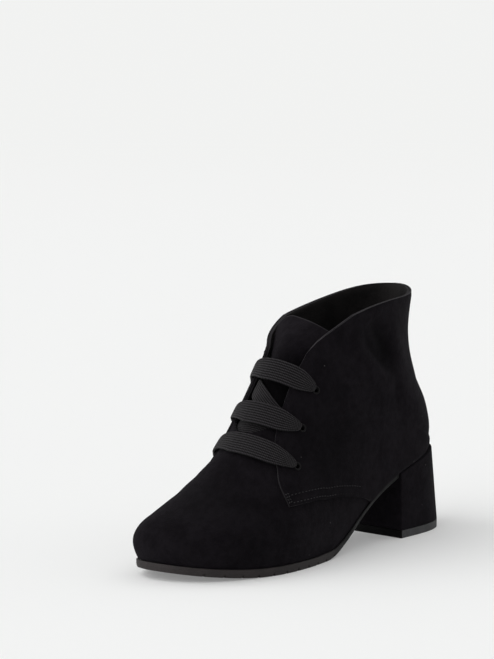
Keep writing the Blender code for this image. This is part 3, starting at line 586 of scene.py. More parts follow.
def trough(points: np.ndarray, line: np.ndarray, width: float, tapered: bool = True) -> np.ndarray:
    """Soft share from 1 on a line to 0 well away from it, fading at its ends where it is tapered."""
    nearest = np.full(points.shape[:-1], 1e9)
    strength = np.zeros(points.shape[:-1])
    for number, spot in enumerate(line):
        gap = np.linalg.norm(points - spot, axis=-1)
        closer = gap < nearest
        nearest = np.where(closer, gap, nearest)
        fade = math.sin(math.pi * (number + 0.5) / len(line)) ** 0.7 if tapered else 1.0
        strength = np.where(closer, fade, strength)
    return strength * np.exp(-((nearest / width) ** 2))


def deselect() -> None:
    """Leaves nothing selected."""
    bpy.ops.object.select_all(action="DESELECT")


def activate(piece: bpy.types.Object) -> None:
    """Makes one piece the only one selected."""
    deselect()
    piece.select_set(True)
    bpy.context.view_layer.objects.active = piece


def edit_all(piece: bpy.types.Object) -> None:
    """Opens a piece in edit mode with all of it selected."""
    activate(piece)
    bpy.ops.object.mode_set(mode="EDIT")
    bpy.ops.mesh.select_all(action="SELECT")


def leave_edit() -> None:
    """Goes back to object mode."""
    bpy.ops.object.mode_set(mode="OBJECT")


def apply_modifier(piece: bpy.types.Object, kind: str, **settings) -> None:
    """Adds a modifier with its settings and applies it."""
    modifier = piece.modifiers.new(kind.lower(), kind)
    for name, value in settings.items():
        setattr(modifier, name, value)
    activate(piece)
    bpy.ops.object.modifier_apply(modifier=modifier.name)


def bevel(piece: bpy.types.Object, width: float, segments: int, degrees: float, **settings) -> None:
    """Rounds the edges of a piece that are sharper than an angle."""
    apply_modifier(
        piece, "BEVEL", width=width, segments=segments, limit_method="ANGLE",
        angle_limit=math.radians(degrees), loop_slide=False, **settings,
    )


def add_object(name: str, data: bpy.types.ID) -> bpy.types.Object:
    """New object in the scene."""
    added = bpy.data.objects.new(name, data)
    bpy.context.scene.collection.objects.link(added)
    return added


def turn_out(piece: bpy.types.Object) -> None:
    """Turns all faces of a closed piece outwards."""
    edit_all(piece)
    bpy.ops.mesh.normals_make_consistent(inside=False)
    leave_edit()


def turned(profile: Sequence[tuple[float, float]], angles: np.ndarray) -> np.ndarray:
    """Rings of a profile of radii and heights, turned about Z."""
    return np.array([[(r * math.cos(a), r * math.sin(a), z) for a in angles] for r, z in profile])


def rings_across(x: np.ndarray, lines: Sequence[tuple[np.ndarray, np.ndarray]]) -> np.ndarray:
    """Rings at places along X, from lines of Y and Z that run along the piece."""
    return np.stack([np.stack([x, y, z], axis=1) for y, z in lines], axis=1)


def join(name: str, parts: Sequence[bpy.types.Object]) -> bpy.types.Object:
    """Joins parts into one piece under a new name."""
    deselect()
    for part in parts:
        part.select_set(True)
    bpy.context.view_layer.objects.active = parts[0]
    bpy.ops.object.join()
    piece = bpy.context.active_object
    piece.name = name
    piece.data.name = name
    return piece


def merge_doubles(piece: bpy.types.Object, distance: float = 0.00001) -> None:
    """Merges points that lie on one another."""
    edit_all(piece)
    bpy.ops.mesh.remove_doubles(threshold=distance)
    leave_edit()


def shade_smooth(piece: bpy.types.Object, angle: float = 40.0) -> None:
    """Shades a piece smooth, with edges sharper than an angle in degrees kept."""
    activate(piece)
    bpy.ops.object.shade_smooth_by_angle(angle=math.radians(angle))


def sheet(name: str, rows: np.ndarray) -> bpy.types.Object:
    """Sheet of faces through rows of points, shaped from a plain grid.

    Args:
        name: Name of the new object.
        rows: Points as rows, columns and coordinates.

    Returns:
        The sheet, with a UV map across its columns and rows.
    """
    count, width = rows.shape[:2]
    deselect()
    bpy.ops.mesh.primitive_grid_add(x_subdivisions=width - 1, y_subdivisions=count - 1, size=1.0)
    piece = bpy.context.active_object
    piece.name = name
    piece.data.name = name
    piece.data.vertices.foreach_set("co", np.ascontiguousarray(rows, np.float32).ravel())
    piece.data.update()
    return piece


def face_out(piece: bpy.types.Object, wanted: np.ndarray) -> None:
    """Turns a sheet's faces so that most of them look along wanted directions at its points."""
    score = 0.0
    for polygon in piece.data.polygons:
        score += float(np.dot(np.array(polygon.normal), wanted[polygon.vertices[0]]))
    if score < 0:
        edit_all(piece)
        bpy.ops.mesh.flip_normals()
        leave_edit()


def tube(name: str, rings: np.ndarray) -> bpy.types.Object:
    """Closed solid through rings of points, with both ends filled.

    Args:
        name: Name of the new object.
        rings: Points as rings, places round the ring and coordinates.

    Returns:
        The solid, faces out.
    """
    piece = sheet(name, np.concatenate([rings, rings[:, :1]], axis=1))
    edit_all(piece)
    bpy.ops.mesh.remove_doubles(threshold=0.000002)
    bpy.ops.mesh.fill_holes(sides=0)
    bpy.ops.mesh.select_all(action="SELECT")
    bpy.ops.mesh.normals_make_consistent(inside=False)
    leave_edit()
    return piece


def dress(piece: bpy.types.Object, materials: Sequence[bpy.types.Material], slot: Slot, *nodes: str) -> None:
    """Gives a piece its materials, its place on the body and the nodes that it stands for."""
    piece.data.materials.clear()
    for material in materials:
        piece.data.materials.append(material)
    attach(piece, ROOT)
    if nodes:
        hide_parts(*nodes)
    stands_for = ", ".join(nodes) or "no node"
    log.info("%s: %d faces, stands for %s", piece.name, len(piece.data.polygons), stands_for)


def mark_painted_shade(piece: bpy.types.Object, values: np.ndarray) -> None:
    """Keeps in an attribute the share of painted shade at each point, for the colour of the suede."""
    attribute = piece.data.attributes.new(PAINTED_SHADE_ATTRIBUTE, "FLOAT", "POINT")
    attribute.data.foreach_set("value", np.clip(values, 0.0, 1.0).astype(np.float32).ravel())


class NodeKit:
    """Short hand for the nodes of one material or group."""

    def __init__(self, tree: bpy.types.NodeTree) -> None:
        """Keeps the tree that nodes go into."""
        self.tree = tree

    def add(self, kind: str, inputs: dict | None = None, **settings) -> bpy.types.Node:
        """New node.

        Args:
            kind: Node type.
            inputs: Values or sockets for its inputs, by name or number.
            settings: Properties of the node.

        Returns:
            The node.
        """
        node = self.tree.nodes.new(kind)
        for name, value in settings.items():
            setattr(node, name, value)
        self.feed(node, inputs or {})
        return node

    def feed(self, node: bpy.types.Node, inputs: dict) -> None:
        """Links sockets to a node's inputs, or sets values there, by name or number."""
        for name, value in inputs.items():
            if isinstance(value, bpy.types.NodeSocket):
                self.tree.links.new(value, node.inputs[name])
            else:
                node.inputs[name].default_value = value

    def math(self, operation: str, first, second=0.0) -> bpy.types.NodeSocket:
        """Result of a math node."""
        return self.add("ShaderNodeMath", {0: first, 1: second}, operation=operation).outputs[0]

    def weigh(self, first, first_weight: float, second, second_weight: float) -> bpy.types.NodeSocket:
        """Sum of two values, each times its weight."""
        first = self.math("MULTIPLY", first, first_weight)
        return self.math("ADD", first, self.math("MULTIPLY", second, second_weight))

    def noise(self, vector, scale: float, detail: float, roughness: float = 0.5) -> bpy.types.NodeSocket:
        """Value of a noise of a given scale."""
        inputs = {"Vector": vector, "Scale": scale, "Detail": detail, "Roughness": roughness}
        return self.add("ShaderNodeTexNoise", inputs).outputs[0]

    def ramp(
        self, value, low: float, high: float, start: float = 0.0, end: float = 1.0
    ) -> bpy.types.NodeSocket:
        """Value carried from one range to another and held at its ends."""
        inputs = {"Value": value, "From Min": low, "From Max": high, "To Min": start, "To Max": end}
        return self.add("ShaderNodeMapRange", inputs, interpolation_type="SMOOTHSTEP").outputs[0]

    def blend(self, share, first, second) -> bpy.types.NodeSocket:
        """Colour part of the way from first to second."""
        return self.add("ShaderNodeMix", {0: share, 6: first, 7: second}, data_type="RGBA").outputs[2]


def new_material(name: str) -> tuple[bpy.types.Material, NodeKit, bpy.types.Node]:
    """New material with its kit and its shader node."""
    material = bpy.data.materials.new(name)
    material.use_nodes = True
    return material, NodeKit(material.node_tree), material.node_tree.nodes["Principled BSDF"]


def new_group(
    name: str, inputs: dict[str, str], outputs: dict[str, str]
) -> tuple[bpy.types.NodeTree, NodeKit, dict]:
    """Empty shader node group with named sockets.

    Args:
        name: Name of the group.
        inputs: Socket types of its inputs by name.
        outputs: Socket types of its outputs by name.

    Returns:
        The group, its kit, and its input sockets by name.
    """
    tree = bpy.data.node_groups.new(name, "ShaderNodeTree")
    for label, kind in inputs.items():
        tree.interface.new_socket(name=label, in_out="INPUT", socket_type=kind)
    for label, kind in outputs.items():
        tree.interface.new_socket(name=label, in_out="OUTPUT", socket_type=kind)
    kit = NodeKit(tree)
    entry = kit.add("NodeGroupInput")
    return tree, kit, {label: entry.outputs[label] for label in inputs}


FLOAT, COLOUR, VECTOR = "NodeSocketFloat", "NodeSocketColor", "NodeSocketVector"


def nap_group() -> bpy.types.NodeTree:
    """Group for nap laid by brushing: soft patches laid one way or the other, short fibres, specks of lint,
    and painted shade mixed in by an amount.
    """
    inputs = {
        "Vector": VECTOR, "Dark": COLOUR, "Light": COLOUR, "Shade Colour": COLOUR, "Hollow": FLOAT,
        "Lint": COLOUR, "Lint Amount": FLOAT,
    }
    outputs = {"Color": COLOUR, "Roughness": FLOAT, "Height": FLOAT}
    tree, kit, entry = new_group("nap_with_painted_shade", inputs, outputs)
    stretch = {"Vector": entry["Vector"], "Rotation": (0.3, 0.5, 0.4), "Scale": (1.0, 1.0, 0.85)}
    stretched = kit.add("ShaderNodeMapping", stretch).outputs[0]
    patches = kit.noise(stretched, 55.0, 3.0, 0.55)
    strokes = kit.noise(stretched, 260.0, 2.0, 0.6)
    fibres = kit.noise(entry["Vector"], 1100.0, 3.0, 0.7)
    lay = kit.ramp(kit.weigh(patches, 0.55, strokes, 0.45), 0.28, 0.72)
    tone = kit.weigh(lay, 0.6, fibres, 0.4)
    colour = kit.blend(tone, entry["Dark"], entry["Light"])
    # Painted shade: the colour goes towards the shade colour by the painted shade amount.
    colour = kit.blend(entry["Hollow"], colour, entry["Shade Colour"])
    dots = kit.add("ShaderNodeTexVoronoi", {"Vector": entry["Vector"], "Scale": 85.0, "Randomness": 1.0})
    near = kit.ramp(dots.outputs["Distance"], 0.028, 0.046, 1.0, 0.0)
    picked = kit.ramp(kit.noise(entry["Vector"], 33.0, 1.0), 0.42, 0.50)
    lint = kit.math("MULTIPLY", kit.math("MULTIPLY", near, picked), entry["Lint Amount"])
    colour = kit.blend(lint, colour, entry["Lint"])
    roughness = kit.ramp(lay, 0.0, 1.0, 0.98, 0.88)
    height = kit.weigh(fibres, 0.75, strokes, 0.25)
    kit.add("NodeGroupOutput", {"Color": colour, "Roughness": roughness, "Height": height})
    return tree


def grain_group() -> bpy.types.NodeTree:
    """Group for fine pebbled grain with soft dull patches, as on lining leather and moulded rubber, with
    painted shade faded in by an amount.
    """
    inputs = {"Vector": VECTOR, "Dark": COLOUR, "Light": COLOUR, "Grain Scale": FLOAT, "Fade": FLOAT}
    outputs = {"Color": COLOUR, "Roughness": FLOAT, "Height": FLOAT}
    tree, kit, entry = new_group("fine_grain", inputs, outputs)
    cells = kit.add("ShaderNodeTexVoronoi", {"Vector": entry["Vector"], "Scale": entry["Grain Scale"]})
    patches = kit.noise(entry["Vector"], 70.0, 3.0, 0.6)
    specks = kit.noise(entry["Vector"], 1400.0, 2.0, 0.6)
    tone = kit.weigh(patches, 0.7, specks, 0.3)
    colour = kit.blend(kit.ramp(tone, 0.35, 0.65), entry["Dark"], entry["Light"])
    # Painted shade: near black faded in along X, under the sole's waist and on the heel top piece's breast.
    colour = kit.blend(entry["Fade"], colour, (0.0008, 0.0007, 0.0008, 1.0))
    roughness = kit.ramp(patches, 0.3, 0.7, 0.55, 0.75)
    height = kit.weigh(cells.outputs["Distance"], 0.6, specks, 0.4)
    kit.add("NodeGroupOutput", {"Color": colour, "Roughness": roughness, "Height": height})
    return tree


@dataclass(frozen=True)
class Finish:
    """Finish of one material: colours, sheen, bump and the group that makes its surface."""

    name: str
    dark: tuple[float, float, float]
    light: tuple[float, float, float]
    bump_distance: float
    sheen: float = 0.0
    sheen_roughness: float = 0.5
    sheen_tint: tuple[float, float, float] = (1.0, 1.0, 1.0)
    specular: float = 0.5
    metallic: float = 0.0
    # Painted shade: X at which the colour starts to darken to near black, and X at which it is fully dark.
    fade: tuple[float, float] | None = None
    extra: tuple[tuple[str, object], ...] = ()

    def material(self, group: bpy.types.NodeTree) -> bpy.types.Material:
        """Material with this finish over a shared group."""
        material, kit, shader = new_material(self.name)
        place = kit.add("ShaderNodeTexCoord").outputs["Object"]
        values = {"Vector": place, "Dark": (*self.dark, 1.0), "Light": (*self.light, 1.0), **dict(self.extra)}
        surface = kit.add("ShaderNodeGroup", node_tree=group)
        kit.feed(surface, values)
        # Painted shade from the mesh attribute darkens the colour.
        if "Hollow" in surface.inputs:
            hollow = kit.add("ShaderNodeAttribute", attribute_name=PAINTED_SHADE_ATTRIBUTE)
            kit.feed(surface, {"Hollow": hollow.outputs["Fac"]})
        # Painted shade faded in along X.
        if self.fade:
            along = kit.add("ShaderNodeSeparateXYZ", {0: place}).outputs[0]
            kit.feed(surface, {"Fade": kit.ramp(along, self.fade[1], self.fade[0], 1.0, 0.0)})
        relief = {"Height": surface.outputs["Height"], "Distance": self.bump_distance}
        kit.feed(shader, {
            "Base Color": surface.outputs["Color"],
            "Roughness": surface.outputs["Roughness"],
            "Normal": kit.add("ShaderNodeBump", relief).outputs["Normal"],
            "Sheen Weight": self.sheen,
            "Sheen Roughness": self.sheen_roughness,
            "Sheen Tint": (*self.sheen_tint, 1.0),
            "Specular IOR Level": self.specular,
            "Metallic": self.metallic,
        })
        return material


LINT = (0.10, 0.095, 0.095, 1.0)
# Colour of painted shade on the suede and its cut edges.
PAINTED_SHADE_COLOUR = (0.0008, 0.0007, 0.0009, 1.0)
SUEDE = Finish(
    "black_suede", (0.0030, 0.0024, 0.0031), (0.0102, 0.0086, 0.0109), 0.00035,
    sheen=0.016, sheen_roughness=0.5, sheen_tint=(0.92, 0.86, 1.0), specular=0.04,
    extra=(("Shade Colour", PAINTED_SHADE_COLOUR), ("Lint", LINT), ("Lint Amount", 0.5)),
)
# Cut edge of the suede: lighter than the face, and lighter still as a painted highlight; also laid as a
# painted highlight on the tongue's top rows.
EDGE_WITH_HIGHLIGHT = Finish(
    "suede_cut_edge", (0.012, 0.0108, 0.0122), (0.029, 0.0266, 0.0296), 0.0003,
    sheen=0.03, specular=0.08, extra=(("Shade Colour", PAINTED_SHADE_COLOUR), ("Lint", LINT), ("Lint Amount", 0.0)),
)
LINING = Finish(
    "black_lining", (0.0052, 0.0046, 0.0047), (0.0120, 0.0107, 0.0108), 0.00015,
    sheen=0.02, specular=0.10, extra=(("Grain Scale", 1300.0),),
)
# Sole rubber, with painted shade darkening its edge towards the waist under the arch.
RUBBER = Finish(
    "sole_rubber", (0.0194, 0.0162, 0.0164), (0.0331, 0.0278, 0.0281), 0.00012,
    specular=0.25, fade=(0.020, -0.004), extra=(("Grain Scale", 1700.0),),
)
# Heel top piece rubber, with painted shade darkening its front face at the breast.
TOP_RUBBER = Finish(
    "heel_rubber", (0.052, 0.052, 0.054), (0.084, 0.084, 0.087), 0.00012,
    specular=0.10, fade=(-0.0674, -0.0668), extra=(("Grain Scale", 1700.0),),
)
THREAD = Finish(
    "black_thread", (0.010, 0.0095, 0.0105), (0.026, 0.025, 0.027), 0.0001,
    sheen=0.04, specular=0.15, extra=(("Grain Scale", 4000.0),),
)
DARK_THREAD = Finish(
    "dark_thread", (0.0022, 0.0019, 0.0023), (0.0050, 0.0044, 0.0052), 0.0001,
    sheen=0.012, specular=0.05, extra=(("Grain Scale", 4000.0),),
)
BLACKENED_METAL = Finish(
    "blackened_eyelet", (0.0030, 0.0027, 0.0030), (0.0080, 0.0074, 0.0080), 0.00003,
    specular=0.15, metallic=0.2, extra=(("Grain Scale", 2500.0),),
)


@dataclass(frozen=True)
class LaceFinish:
    """Finish of the flat braided lace, whose plait follows the lace's own UV map."""

    name: str = "braided_lace"
    dark: tuple[float, float, float] = (0.0018, 0.0017, 0.0019)
    light: tuple[float, float, float] = (0.0425, 0.0388, 0.0428)
    ribs: int = 9
    plaits: float = 1000.0
    bump_distance: float = 0.00028

    def material(self) -> bpy.types.Material:
        """Material with slanted plaits on each lengthwise rib and painted shade in the valleys between them.
        """
        material, kit, shader = new_material(self.name)
        parts = kit.add("ShaderNodeSeparateXYZ", {0: kit.add("ShaderNodeUVMap", uv_map="UVMap").outputs[0]})
        across, along = parts.outputs[0], parts.outputs[1]
        rib = kit.math("MULTIPLY", across, 2 * self.ribs)
        phase = kit.math("PINGPONG", rib, 1.0)
        slant = kit.weigh(along, self.plaits, phase, 0.6)
        plait = kit.math("MULTIPLY", kit.math("PINGPONG", slant, 0.5), 2.0)
        # Painted shade: the tone darkens in the valleys between the ribs.
        valley = kit.ramp(phase, 0.12, 0.75)
        place = kit.add("ShaderNodeTexCoord").outputs["Object"]
        fuzz = kit.noise(place, 1500.0, 2.0, 0.6)
        tone = kit.math("MULTIPLY", valley, kit.math("ADD", kit.math("MULTIPLY", plait, 0.75), 0.20))
        tone = kit.math("ADD", tone, kit.math("MULTIPLY", kit.math("SUBTRACT", fuzz, 0.5), 0.35))
        colour = kit.blend(kit.ramp(tone, 0.0, 1.0), (*self.dark, 1.0), (*self.light, 1.0))
        relief = {"Height": kit.weigh(plait, 0.5, fuzz, 0.5), "Distance": self.bump_distance}
        kit.feed(shader, {
            "Base Color": colour,
            "Roughness": kit.ramp(plait, 0.0, 1.0, 0.92, 0.78),
            "Normal": kit.add("ShaderNodeBump", relief).outputs["Normal"],
            "Sheen Weight": 0.06,
            "Specular IOR Level": 0.10,
        })
        return material


@dataclass
class Materials:
    """All materials of the boot, made once."""

    def __post_init__(self) -> None:
        """Builds the shared groups and the materials over them."""
        nap, grain = nap_group(), grain_group()
        self.suede = SUEDE.material(nap)
        self.edge = EDGE_WITH_HIGHLIGHT.material(nap)
        self.lining = LINING.material(grain)
        self.rubber = RUBBER.material(grain)
        self.top_rubber = TOP_RUBBER.material(grain)
        self.thread = THREAD.material(grain)
        self.dark_thread = DARK_THREAD.material(grain)
        self.metal = BLACKENED_METAL.material(grain)
        self.lace = LaceFinish().material()


@dataclass
class Pattern:
    """Cutting pattern of the upper: where vamp and quarters lie on the last, as grids of places."""

    last: Last
    throat_foot: float = 7.55
    throat_side: float = 8.25
    collar_spacing: float = 0.026
    vamp_rows: int = 64
    throat_columns: int = 12
    throat_rows: int = 26
    heel_rows: int = 26
    leg_rows: int = 34
    quarter_columns: int = 60

    def facing_share(self, station) -> np.ndarray:
        """Share of the half section at which the quarter's front edge lies."""
        return read(FACING_EDGE, station) / 100

    def climbs(self) -> np.ndarray:
        """Rows of the quarter from seam to collar, closer at the seam, the heel corner and the collar."""
        seam, foot = QUARTER_SEAM[0][1], QUARTER_SEAM[-1][1]
        throat = (self.throat_side - seam) / (TOP_STATION - seam)
        corner = (STATION["corner"] - foot) / (TOP_STATION - foot)
        low = throat * (np.arange(self.throat_rows) / self.throat_rows) ** 1.3
        middle = mix(throat, corner, np.sin(np.pi / 2 * np.arange(self.heel_rows) / self.heel_rows))
        high = mix(corner, 1.0, np.sin(np.pi / 2 * np.arange(self.leg_rows + 1) / self.leg_rows))
        return np.concatenate([low, middle, high])

    def quarter(self, side: Side, end_gap: float, trim: float = 0.0) -> tuple[np.ndarray, np.ndarray]:
        """Places of the quarter, rows from seam to collar, each from the facing edge to the back.

        Args:
            side: Side of the foot.
            end_gap: Distance kept from the centre back.
            trim: Distance kept from the facing edge and the collar edge.

        Returns:
            Stations and shares of the half section.
        """
        first_reach, first_station = QUARTER_SEAM[0]
        climbs = self.climbs()[:, None]
        across = eased(np.linspace(0.0, 1.0, self.quarter_columns + 1))[None, :]
        edge_station = mix(first_station, float(TOP_STATION), climbs)
        start = self.facing_share(edge_station) + trim / self.last.half_length(edge_station, side)
        seam = read(QUARTER_SEAM, mix(first_reach, 100.0, across))
        station = mix(seam, TOP_STATION - trim / self.collar_spacing, climbs)
        gap = np.where(station > STATION["corner"] - 0.5, end_gap, 0.0)
        return station, mix(start, 1.0 - gap / self.last.half_length(station, side), across)

    def edge_closeness(self, places: tuple[np.ndarray, np.ndarray], side: Side, reach: float) -> np.ndarray:
        """Share from 1 at the facing and collar edges of a quarter to 0 past a reach from them."""
        station, share = places
        facing = (share - share[:, :1]) * self.last.half_length(station, side)
        collar = (TOP_STATION - station) * self.collar_spacing
        gap = np.clip(np.minimum(facing, collar) / reach, 0.0, 1.0)
        return 1.0 - gap * gap * (3 - 2 * gap)

    def vamp(self, side: Side, trim: float) -> tuple[np.ndarray, np.ndarray]:
        """Places of the vamp, rows from the toe tip to the throat, the facing edge and the seam."""
        station, share = self.quarter(side, 0.0, trim)
        steps = np.arange(self.throat_columns) / self.throat_columns
        edge_station = [mix(self.throat_foot, self.throat_side, steps**2)]
        edge_share = [self.facing_share(self.throat_side) * steps]
        edge_station += [station[self.throat_rows:0:-1, 0], station[0]]
        edge_share += [share[self.throat_rows:0:-1, 0], share[0]]
        edge_station = np.concatenate(edge_station)
        edge_share = np.concatenate(edge_share)
        growth = (np.linspace(0.0, 1.0, self.vamp_rows + 1) ** 1.25)[:, None]
        shares = np.broadcast_to(edge_share, (self.vamp_rows + 1, len(edge_share)))
        return edge_station[None, :] * growth, shares


@dataclass
class Upper:
    """Upper of suede and lining in one wall, and the two quarters sewn over it."""

    last: Last
    pattern: Pattern
    materials: Materials
    wall: float = 0.0016
    quarter_top: float = 0.0017
    quarter_wall: float = 0.0015
    back_gap: float = 0.0003
    edge_round: float = 0.0005
    trim: float = 0.0005
    skive: float = 0.75
    skive_reach: float = 0.0035
    press: float = 0.0005
    full_shade_depth: float = 0.0033
    foot_reach: float = 0.0025
    eyelet_bore: float = 0.0022
    bore_depth: float = 0.0120
    facing_inset: float = 0.0016
    facing_rows: tuple[int, int] = (4, 74)
    seam_points: int = 200
    seam_span: tuple[int, int] = (6, 100)
    rear_span: tuple[int, int] = (100, 194)
    second_span: tuple[int, int] = (6, 150)
    stitch_inset: float = 0.0017
    second_row: float = 0.0064
    tack_gaps: tuple[float, ...] = (0.0010, 0.0026)
    tack_reach: float = 0.0085
    back_row_start: float = 0.066
    row_groove: float = 0.00016
    row_width: float = 0.0008

    def relief(self, places: tuple[np.ndarray, np.ndarray], side: Side) -> np.ndarray:
        """Distance out that creases move places on the last."""
        return self.last.relief(self.last.place(*places, side), CREASES, side)

    def surface(self, places: tuple[np.ndarray, np.ndarray], side: Side, distance) -> np.ndarray:
        """Creased points over places on the last, at a distance out."""
        return self.last.place(*places, side, distance + self.relief(places, side))

    def sheet(
        self, name: str, places: tuple[np.ndarray, np.ndarray], side: Side, points: np.ndarray
    ) -> bpy.types.Object:
        """Sheet through points over places on the last, faces out."""
        piece = sheet(name, points)
        face_out(piece, self.last.normal(*places, side).reshape(-1, 3))
        # Painted shade from the shade patches and from the depth of the crease troughs.
        brushed = self.last.brushed(points, SHADE_PATCHES)
        mark_painted_shade(piece, brushed - self.relief(places, side) / self.full_shade_depth)
        return piece

    def mark_fullness(self, piece: bpy.types.Object, closeness: np.ndarray) -> None:
        """Keeps in a vertex group how far each point is from being a skived edge."""
        group = piece.vertex_groups.new(name="fullness")
        for number, value in enumerate(closeness.ravel()):
            group.add([number], 1.0 - float(value), "REPLACE")

    def thicken(self, piece: bpy.types.Object, thickness: float, inner_slot: int, rim_slot: int) -> None:
        """Gives a sheet its thickness inwards, thinner at skived edges, and rounds its cut edges."""
        # The cut rims take the edge colour, which is partly a painted highlight.
        apply_modifier(
            piece, "SOLIDIFY", thickness=thickness, offset=-1.0, use_even_offset=False,
            material_offset=inner_slot, material_offset_rim=rim_slot,
            vertex_group="fullness", thickness_vertex_group=self.skive,
        )
        bevel(piece, self.edge_round, 2, 55.0, material=rim_slot)

    def darken_foot(self, piece: bpy.types.Object) -> None:
        """Gives the hidden edge along the sole the plain suede."""
        for polygon in piece.data.polygons:
            if polygon.material_index == 2:
                x, _, z = polygon.center
                if z < self.last.feather_height(x) + self.foot_reach:
                    polygon.material_index = 0

    def build_wall(self) -> bpy.types.Object:
        """Wall of the upper as one shell, suede outside and lining inside, open at collar, throat and sole.
        """
        sheets = []
        for side in Side:
            vamp = self.pattern.vamp(side, self.trim)
            leg = self.pattern.quarter(side, 0.0, self.trim)
            closeness = (np.zeros(vamp[0].shape), self.pattern.edge_closeness(leg, side, self.skive_reach))
            for places, close in zip((vamp, leg), closeness):
                part = self.sheet("wall", places, side, self.surface(places, side, 0.0))
                self.mark_fullness(part, close)
                sheets.append(part)
        piece = join("upper_wall", sheets)
        merge_doubles(piece, 0.00004)
        dress(piece, (self.materials.suede, self.materials.lining, self.materials.edge), Slot.SUEDE, "upper")
        self.thicken(piece, self.wall, 1, 2)
        self.darken_foot(piece)
        shade_smooth(piece)
        return piece

    def quarter_face(self, side: Side) -> tuple[np.ndarray, np.ndarray]:
        """Outer face of a quarter without its stitch channels: points and outward directions."""
        places = self.pattern.quarter(side, self.back_gap)
        closeness = self.pattern.edge_closeness(places, side, self.skive_reach)
        points = self.surface(places, side, self.quarter_top - self.press * closeness)
        return points, self.last.normal(*places, side)

    def inset(
        self, face: tuple[np.ndarray, np.ndarray], edge: tuple, inside: tuple, gap: float
    ) -> np.ndarray:
        """Line at a distance inside an edge of the quarter, laid on its outer face.

        Args:
            face: Points and outward directions of the quarter.
            edge: Index of the edge's points.
            inside: Index of points further in, beside those of the edge.
            gap: Distance from the edge.

        Returns:
            Points of the line.
        """
        points, outward = face
        line = points[edge]
        inward = np.cross(outward[edge], unit(np.gradient(line, axis=0)))
        inward *= np.sign(np.sum(inward * (points[inside] - line), axis=-1, keepdims=True))
        moved = line + inward * gap
        flat_points, flat_outward = points.reshape(-1, 3), outward.reshape(-1, 3)
        for number, spot in enumerate(moved):
            nearest = int(np.argmin(np.linalg.norm(flat_points - spot, axis=1)))
            height = np.dot(spot - flat_points[nearest], flat_outward[nearest])
            moved[number] = spot - flat_outward[nearest] * height
        return moved

    def rows(self, side: Side) -> dict[str, np.ndarray]:
        """Stitch rows of one quarter as lines on its outer face."""
        face = self.quarter_face(side)
        every = slice(None)
        facing = self.inset(face, (every, 0), (every, 3), self.facing_inset)
        seam, second = (
            resample(self.inset(face, (0, every), (3, every), gap), self.seam_points)
            for gap in (self.stitch_inset, self.second_row)
        )
        back = self.inset(face, (every, -1), (every, -4), self.stitch_inset)
        behind = face[0][:, -1, 2] > self.back_row_start
        rows = {
            "facing": facing[slice(*self.facing_rows)],
            "seam": seam[slice(*self.seam_span)],
            "rear": seam[slice(*self.rear_span)],
            "seam_second": second[slice(*self.second_span)],
            "back": back[behind][:-3],
        }
        for number, gap in enumerate(self.tack_gaps):
            line = self.inset(face, (every, 0), (every, 3), gap)[:self.facing_rows[1]]
            run = run_lengths(line)
            rows["tack_%d" % number] = line[(run > self.stitch_inset * 0.6) & (run < self.tack_reach)]
        return rows

    def build_quarter(self, side: Side) -> bpy.types.Object:
        """Quarter from facing to centre back, with shallow channels under its stitch rows."""
        places = self.pattern.quarter(side, self.back_gap)
        closeness = self.pattern.edge_closeness(places, side, self.skive_reach)
        points, outward = self.quarter_face(side)
        for name, line in self.rows(side).items():
            if name.startswith("tack"):
                continue
            sunk = trough(points, resample(line, 160), self.row_width, tapered=False)
            points = points - outward * (self.row_groove * sunk)[..., None]
        node = "quarter_" + side.word
        piece = self.sheet(node + "_suede", places, side, points)
        self.mark_fullness(piece, closeness)
        dress(piece, (self.materials.suede, self.materials.suede, self.materials.edge), Slot.SUEDE, node)
        self.thicken(piece, self.quarter_wall, 1, 2)
        merge_doubles(piece, 0.00003)
        self.darken_foot(piece)
        shade_smooth(piece)
        return piece

    def bore_eyelets(self, pieces: Sequence[bpy.types.Object]) -> None:
        """Cuts the eyelet holes through the wall and the quarters."""
        cutters = []
        for lacing in LACING:
            for side in Side:
                deselect()
                bpy.ops.mesh.primitive_cylinder_add(
                    vertices=24, radius=self.eyelet_bore, depth=self.bore_depth
                )
                cutter = bpy.context.active_object
                cutter.data.transform(eyelet_frame(self.last, lacing, side))
                cutters.append(cutter)
        cutter = join("eyelet_cutter", cutters)
        for piece in pieces:
            apply_modifier(piece, "BOOLEAN", operation="DIFFERENCE", solver="EXACT", object=cutter)
            apply_modifier(
                piece, "TRIANGULATE", ngon_method="BEAUTY", quad_method="SHORTEST_DIAGONAL", min_vertices=5
            )
        bpy.data.objects.remove(cutter, do_unlink=True)

    def build(self) -> None:
        """Builds wall and quarters."""
        pieces = [self.build_wall()] + [self.build_quarter(side) for side in Side]
        self.bore_eyelets(pieces)


def eyelet_frame(last: Last, lacing: Lacing, side: Side) -> Matrix:
    """Place and turn of an eyelet on the last, its axis out of the quarter."""
    share = lacing.reach / 100
    normal = Vector(last.normal(lacing.station, share, side))
    point = Vector(last.place(lacing.station, share, side))
    return Matrix.Translation(point) @ normal.to_track_quat("Z", "Y").to_matrix().to_4x4()


